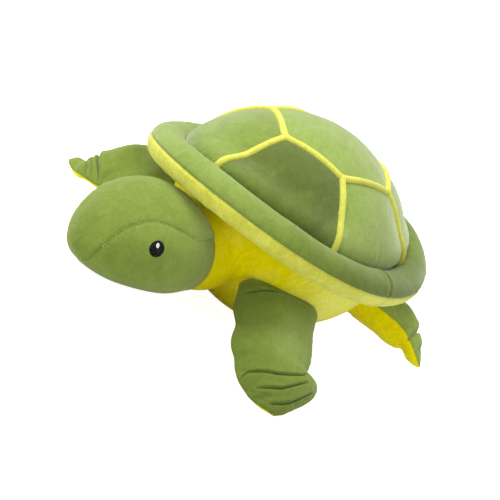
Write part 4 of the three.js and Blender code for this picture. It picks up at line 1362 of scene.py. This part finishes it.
def flipper_point(place, edge, v, face, lift=0.0):
    """A pillow: across from edge to edge, its half thickness a power of the edge, a round root behind the
    hinge, a rounded tip, and a soft bend past the wrist. The near flipper's leading seam is tucked down under
    it, and the far one's tip curls up. Lift moves the surface up or down square to it."""
    power, root = place.lines["tip"]
    radius = place.thickness / 2 * np.maximum(1 - np.abs(edge) ** EDGE_POWER, 0) ** 0.5
    behind = math.pi / 2 * (1 - v / ROOT_SHARE)
    share = np.maximum((v - ROOT_SHARE) / (1 - ROOT_SHARE), 0)
    reach = share * place.length
    past = SOFT_BEND * np.logaddexp(0, (reach - place.lines["wrist"] * place.length) / SOFT_BEND)
    away = np.where(v < ROOT_SHARE, -radius * np.sin(behind), reach - past * (1 - math.cos(place.bend)))
    half = radius * np.where(v < ROOT_SHARE, np.cos(behind), np.maximum(1 - share**power, 0) ** root)
    across = lerp(*place.outline(share), (edge + 1) / 2)
    curled = place.lines["curl"] * smooth((share - CURL_START) / (1 - CURL_START))
    tuck = place.lines["tuck"]
    under = (1 - smooth((edge + 1) / 0.7)) * smooth(share / 0.15) * (1 - smooth((share - 0.9) / 0.1))
    if face < 0 and tuck:
        half = half * (1 - 0.8 * under)
    rise = face * (half + lift) + curled - past * math.sin(place.bend) - tuck * under
    ways = np.stack([place.out, place.back, place.up])
    return place.hinge + stack(away, across, rise) @ ways, across, reach


def pleat_height(place, across, reach):
    """Sewn folds: on the root's side of each line the cloth rolls over it, and under the roll it is pinched
    in. Returns the height and the crease, which paints shade in each pinch."""
    broad, deep = PLEAT_SIZES[place.kind]
    height, crease = np.zeros_like(across), np.zeros_like(across)
    a = across / MM
    for (xs, line), share in zip(PLEATS[place.kind], deep):
        depth = bpy.context.scene.turtle_flippers.pleat_depth * share
        away = (reach - np.interp(a, xs, line) * MM) / broad
        fade = smooth((a - xs[0] + 2) / 7) * smooth((xs[-1] + 3 - a) / 7)
        grow = 0.5 + 0.5 * np.sin(math.pi * np.clip((a - xs[0]) / (xs[-1] - xs[0]), 0, 1) ** 0.8)
        roll = np.sqrt(np.clip(-away / (1.2 * MM), 0, 1)) * np.exp(-np.maximum(-away, 0) / (6.5 * MM))
        pinch = bell(away - 0.5 * MM, 1.1 * MM)
        swell = 0.35 * bell(away - 5 * MM, 3.4 * MM)
        height += depth * grow * fade * (0.9 * roll - 0.8 * pinch + swell)
        crease += pinch * fade * (0.5 + 0.5 * grow)
    return height, np.clip(crease, 0, 1)


def flipper_cover(name, place, face, kind):
    u, v = grid(120, 230)
    edge = -np.cos(math.pi * u)
    flat, across, reach = flipper_point(place, edge, v, face)
    to_edge = np.minimum(apart(flat, flat[:1]), apart(flat, flat[-1:]))
    height = ripple(reach / (2.8 * MM), 0.6 + face) * bell(to_edge - 4 * MM, 6 * MM) * 0.35 * MM
    height += ripple(reach / (9 * MM) + across / (31 * MM), 1.4) * 0.45 * MM * smooth(to_edge / (12 * MM))
    # Painted shade along the edge seam
    crease, light_and_shade, share = bell(to_edge, 1.2 * MM) * 0.8, 0.0, reach / place.length
    if face > 0:
        folds, pinched = pleat_height(place, across, reach)
        height += folds * smooth(to_edge / (3 * MM))
        # Painted shade in the pinch under each fold
        crease = np.maximum(crease, pinched)
        # Painted light and shade on the upper side
        light_and_shade = lerp(*FLIPPER_LIGHT_AND_SHADE[place.kind], bell(share - 0.4, 0.3) * bell(edge - 0.3, 0.8))
    for bulge, middle, spread in BULGES.get(f"{place.kind} {kind}", []):
        height += bulge * bell(share - middle, spread) * (1 - edge**2)
    height *= smooth(to_edge / (1.5 * MM)) * smooth(reach / (10 * MM))
    centre = place.hinge + place.out * place.length / 2 - place.up * face * place.thickness * 2
    outer = flipper_point(place, edge, v, face, height)[0]
    puff = stuffed(flat[:, OPEN_COLUMNS], centre, *FLIPPER_STUFFING)
    outer[:, OPEN_COLUMNS] += puff * smooth((to_edge[:, OPEN_COLUMNS] / MM - 1) / 9)[..., None]
    return cover(f"{name}_flipper_{kind}_plush", outer, normals_of(outer, centre), crease=crease, light_and_shade=light_and_shade)


class TURTLE_OT_flippers(bpy.types.Operator):
    """Sews the four flippers, green above and yellow below, with folds in each paw"""

    bl_idname = "turtle.flippers"
    bl_label = "Flippers"

    def execute(self, context):
        c = colours()
        green = plush("flipper_pile", c.flipper_green)
        yellow = plush("underside_pile", c.belly_yellow, sheen=0.22, tint=(0.9, 1.0, 0.6), depth=0.8)
        sides = ((1, "top", green, "green_pile"), (-1, "underside", yellow, "yellow_pile"))
        for name in FLIPPERS:
            place = FlipperPlace(name)
            start, end = (tuple(place.hinge + place.out * reach * MM) for reach in STRETCHED)
            for face, kind, material, slot in sides:
                stands_for = [f"{name}_flipper_{kind}"] + ([f"{name}_flipper_filling"] if face > 0 else [])
                piece = flipper_cover(name, place, face, kind)
                finish(piece, material, slot, None, stands_for)
                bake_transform(piece)
                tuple(start)
                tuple(end)
        return {"FINISHED"}


# Stage

CAMERA_RIGHT = (-0.598, 0.5777, 0.5556)
CAMERA_UP = (0.1073, -0.6292, 0.7698)
CAMERA_BACK = (0.7943, 0.5199, 0.3143)
FLOOR_SIZE = 12
FLOOR_GLOW = 0.9
# Each lamp's place, the place it is aimed at and its width, in metres
LAMPS = {
    "overhead_lamp": ((0.45, -0.55, 1.6), (0.03, 0, 0.1), 1.3),
    "camera_lamp": ((1.5, 0.2, 1.0), (0.05, 0, 0.1), 0.9),
}
SENSOR_WIDTH = 36


def area_lamp(name, place, aim, size, power):
    data = bpy.data.lights.new(name, "AREA")
    data.shape, data.size, data.energy = "DISK", size, power
    turn = (Vector(place) - Vector(aim)).to_track_quat("Z", "Y").to_matrix().to_4x4()
    placed(name, data).matrix_world = Matrix.Translation(place) @ turn


def floor_material():
    """White floor that the camera sees as white while it keeps the turtle's shadow."""
    material, n, shader, place = new_material("floor_white")
    rgb = colours().floor_white
    mottled = n.mix(n.noise(place, 3, 2), scaled_colour(rgb, 0.985), scaled_colour(rgb))
    n.fill(shader, {"Base Color": mottled, "Roughness": 0.9})
    glow = n.add("Emission", {"Color": (1, 1, 1, 1), "Strength": FLOOR_GLOW}).outputs[0]
    both = n.add("AddShader", {0: shader.outputs[0], 1: glow}).outputs[0]
    camera_ray = n.add("LightPath").outputs["Is Camera Ray"]
    seen = n.add("MixShader", {0: camera_ray, 1: shader.outputs[0], 2: both}).outputs[0]
    n.fill(material.node_tree.nodes["Material Output"], {"Surface": seen})
    return material


class TURTLE_OT_stage(bpy.types.Operator):
    """Sets up the white floor, the soft lamps and the camera of the photograph"""

    bl_idname = "turtle.stage"
    bl_label = "Stage"

    def execute(self, context):
        scene, studio = context.scene, context.scene.turtle_studio
        u, v = grid(2, 2)
        corners = stack((u - 0.5) * FLOOR_SIZE, (v - 0.5) * FLOOR_SIZE, -0.02 * MM)
        mesh = bpy.data.meshes.new("floor")
        mesh.from_pydata(corners.reshape(-1, 3).tolist(), [], [(0, 2, 3, 1)])
        mesh.materials.append(floor_material())
        floor = placed("floor", mesh)
        area_lamp("overhead_lamp", *LAMPS["overhead_lamp"], studio.key_power)
        area_lamp("camera_lamp", *LAMPS["camera_lamp"], studio.fill_power)
        scene.world = bpy.data.worlds.new("surround")
        scene.world.use_nodes = True
        n, nodes = Nodes(scene.world.node_tree), scene.world.node_tree.nodes
        n.fill(nodes["Background"], {"Color": (1, 1, 1, 1), "Strength": studio.world_strength})
        white = n.add("Background", {"Color": (1, 1, 1, 1)}).outputs[0]
        path = n.add("LightPath").outputs
        seen = n.calc("MAXIMUM", path["Is Camera Ray"], path["Is Glossy Ray"])
        chosen = n.add("MixShader", {0: seen, 1: nodes["Background"].outputs[0], 2: white}).outputs[0]
        n.fill(nodes["World Output"], {"Surface": chosen})
        data = bpy.data.cameras.new("camera")
        data.lens, data.sensor_width = studio.lens, SENSOR_WIDTH
        scene.camera = placed("camera", data)
        axes = Matrix((CAMERA_RIGHT, CAMERA_UP, CAMERA_BACK)).transposed().to_4x4()
        scene.camera.matrix_world = Matrix.Translation(studio.place) @ axes
        scene.view_settings.view_transform = "Standard"
        return {"FINISHED"}


class TURTLE_PT_panel(bpy.types.Panel):
    """Lists the turtle's pieces and sizes"""

    bl_idname = "TURTLE_PT_panel"
    bl_label = "Plush sea turtle"
    bl_space_type = "VIEW_3D"
    bl_region_type = "UI"
    bl_category = "Turtle"

    def draw(self, context):
        for operator in PIECES:
            self.layout.operator(operator.bl_idname)
        for key, group in PROPERTY_GROUPS.items():
            box = self.layout.box()
            for name in group.__annotations__:
                box.prop(getattr(context.scene, key), name)


PIECES = [
    TURTLE_OT_stage,
    TURTLE_OT_rim,
    TURTLE_OT_shell,
    TURTLE_OT_piping,
    TURTLE_OT_torso,
    TURTLE_OT_head,
    TURTLE_OT_eyes,
    TURTLE_OT_flippers,
]


def register():
    for key, group in PROPERTY_GROUPS.items():
        bpy.utils.register_class(group)
        setattr(bpy.types.Scene, key, PointerProperty(type=group))
    for cls in [*PIECES, TURTLE_PT_panel]:
        bpy.utils.register_class(cls)


def unregister():
    for cls in reversed([*PIECES, TURTLE_PT_panel]):
        bpy.utils.unregister_class(cls)
    for key, group in reversed(PROPERTY_GROUPS.items()):
        delattr(bpy.types.Scene, key)
        bpy.utils.unregister_class(group)


def main():
    register()
    bpy.ops.turtle.stage()
    bpy.ops.turtle.rim()
    bpy.ops.turtle.shell_panels()
    bpy.ops.turtle.piping()
    bpy.ops.turtle.torso()
    bpy.ops.turtle.head()
    bpy.ops.turtle.eyes()
    bpy.ops.turtle.flippers()


if __name__ == "__main__":
    main()
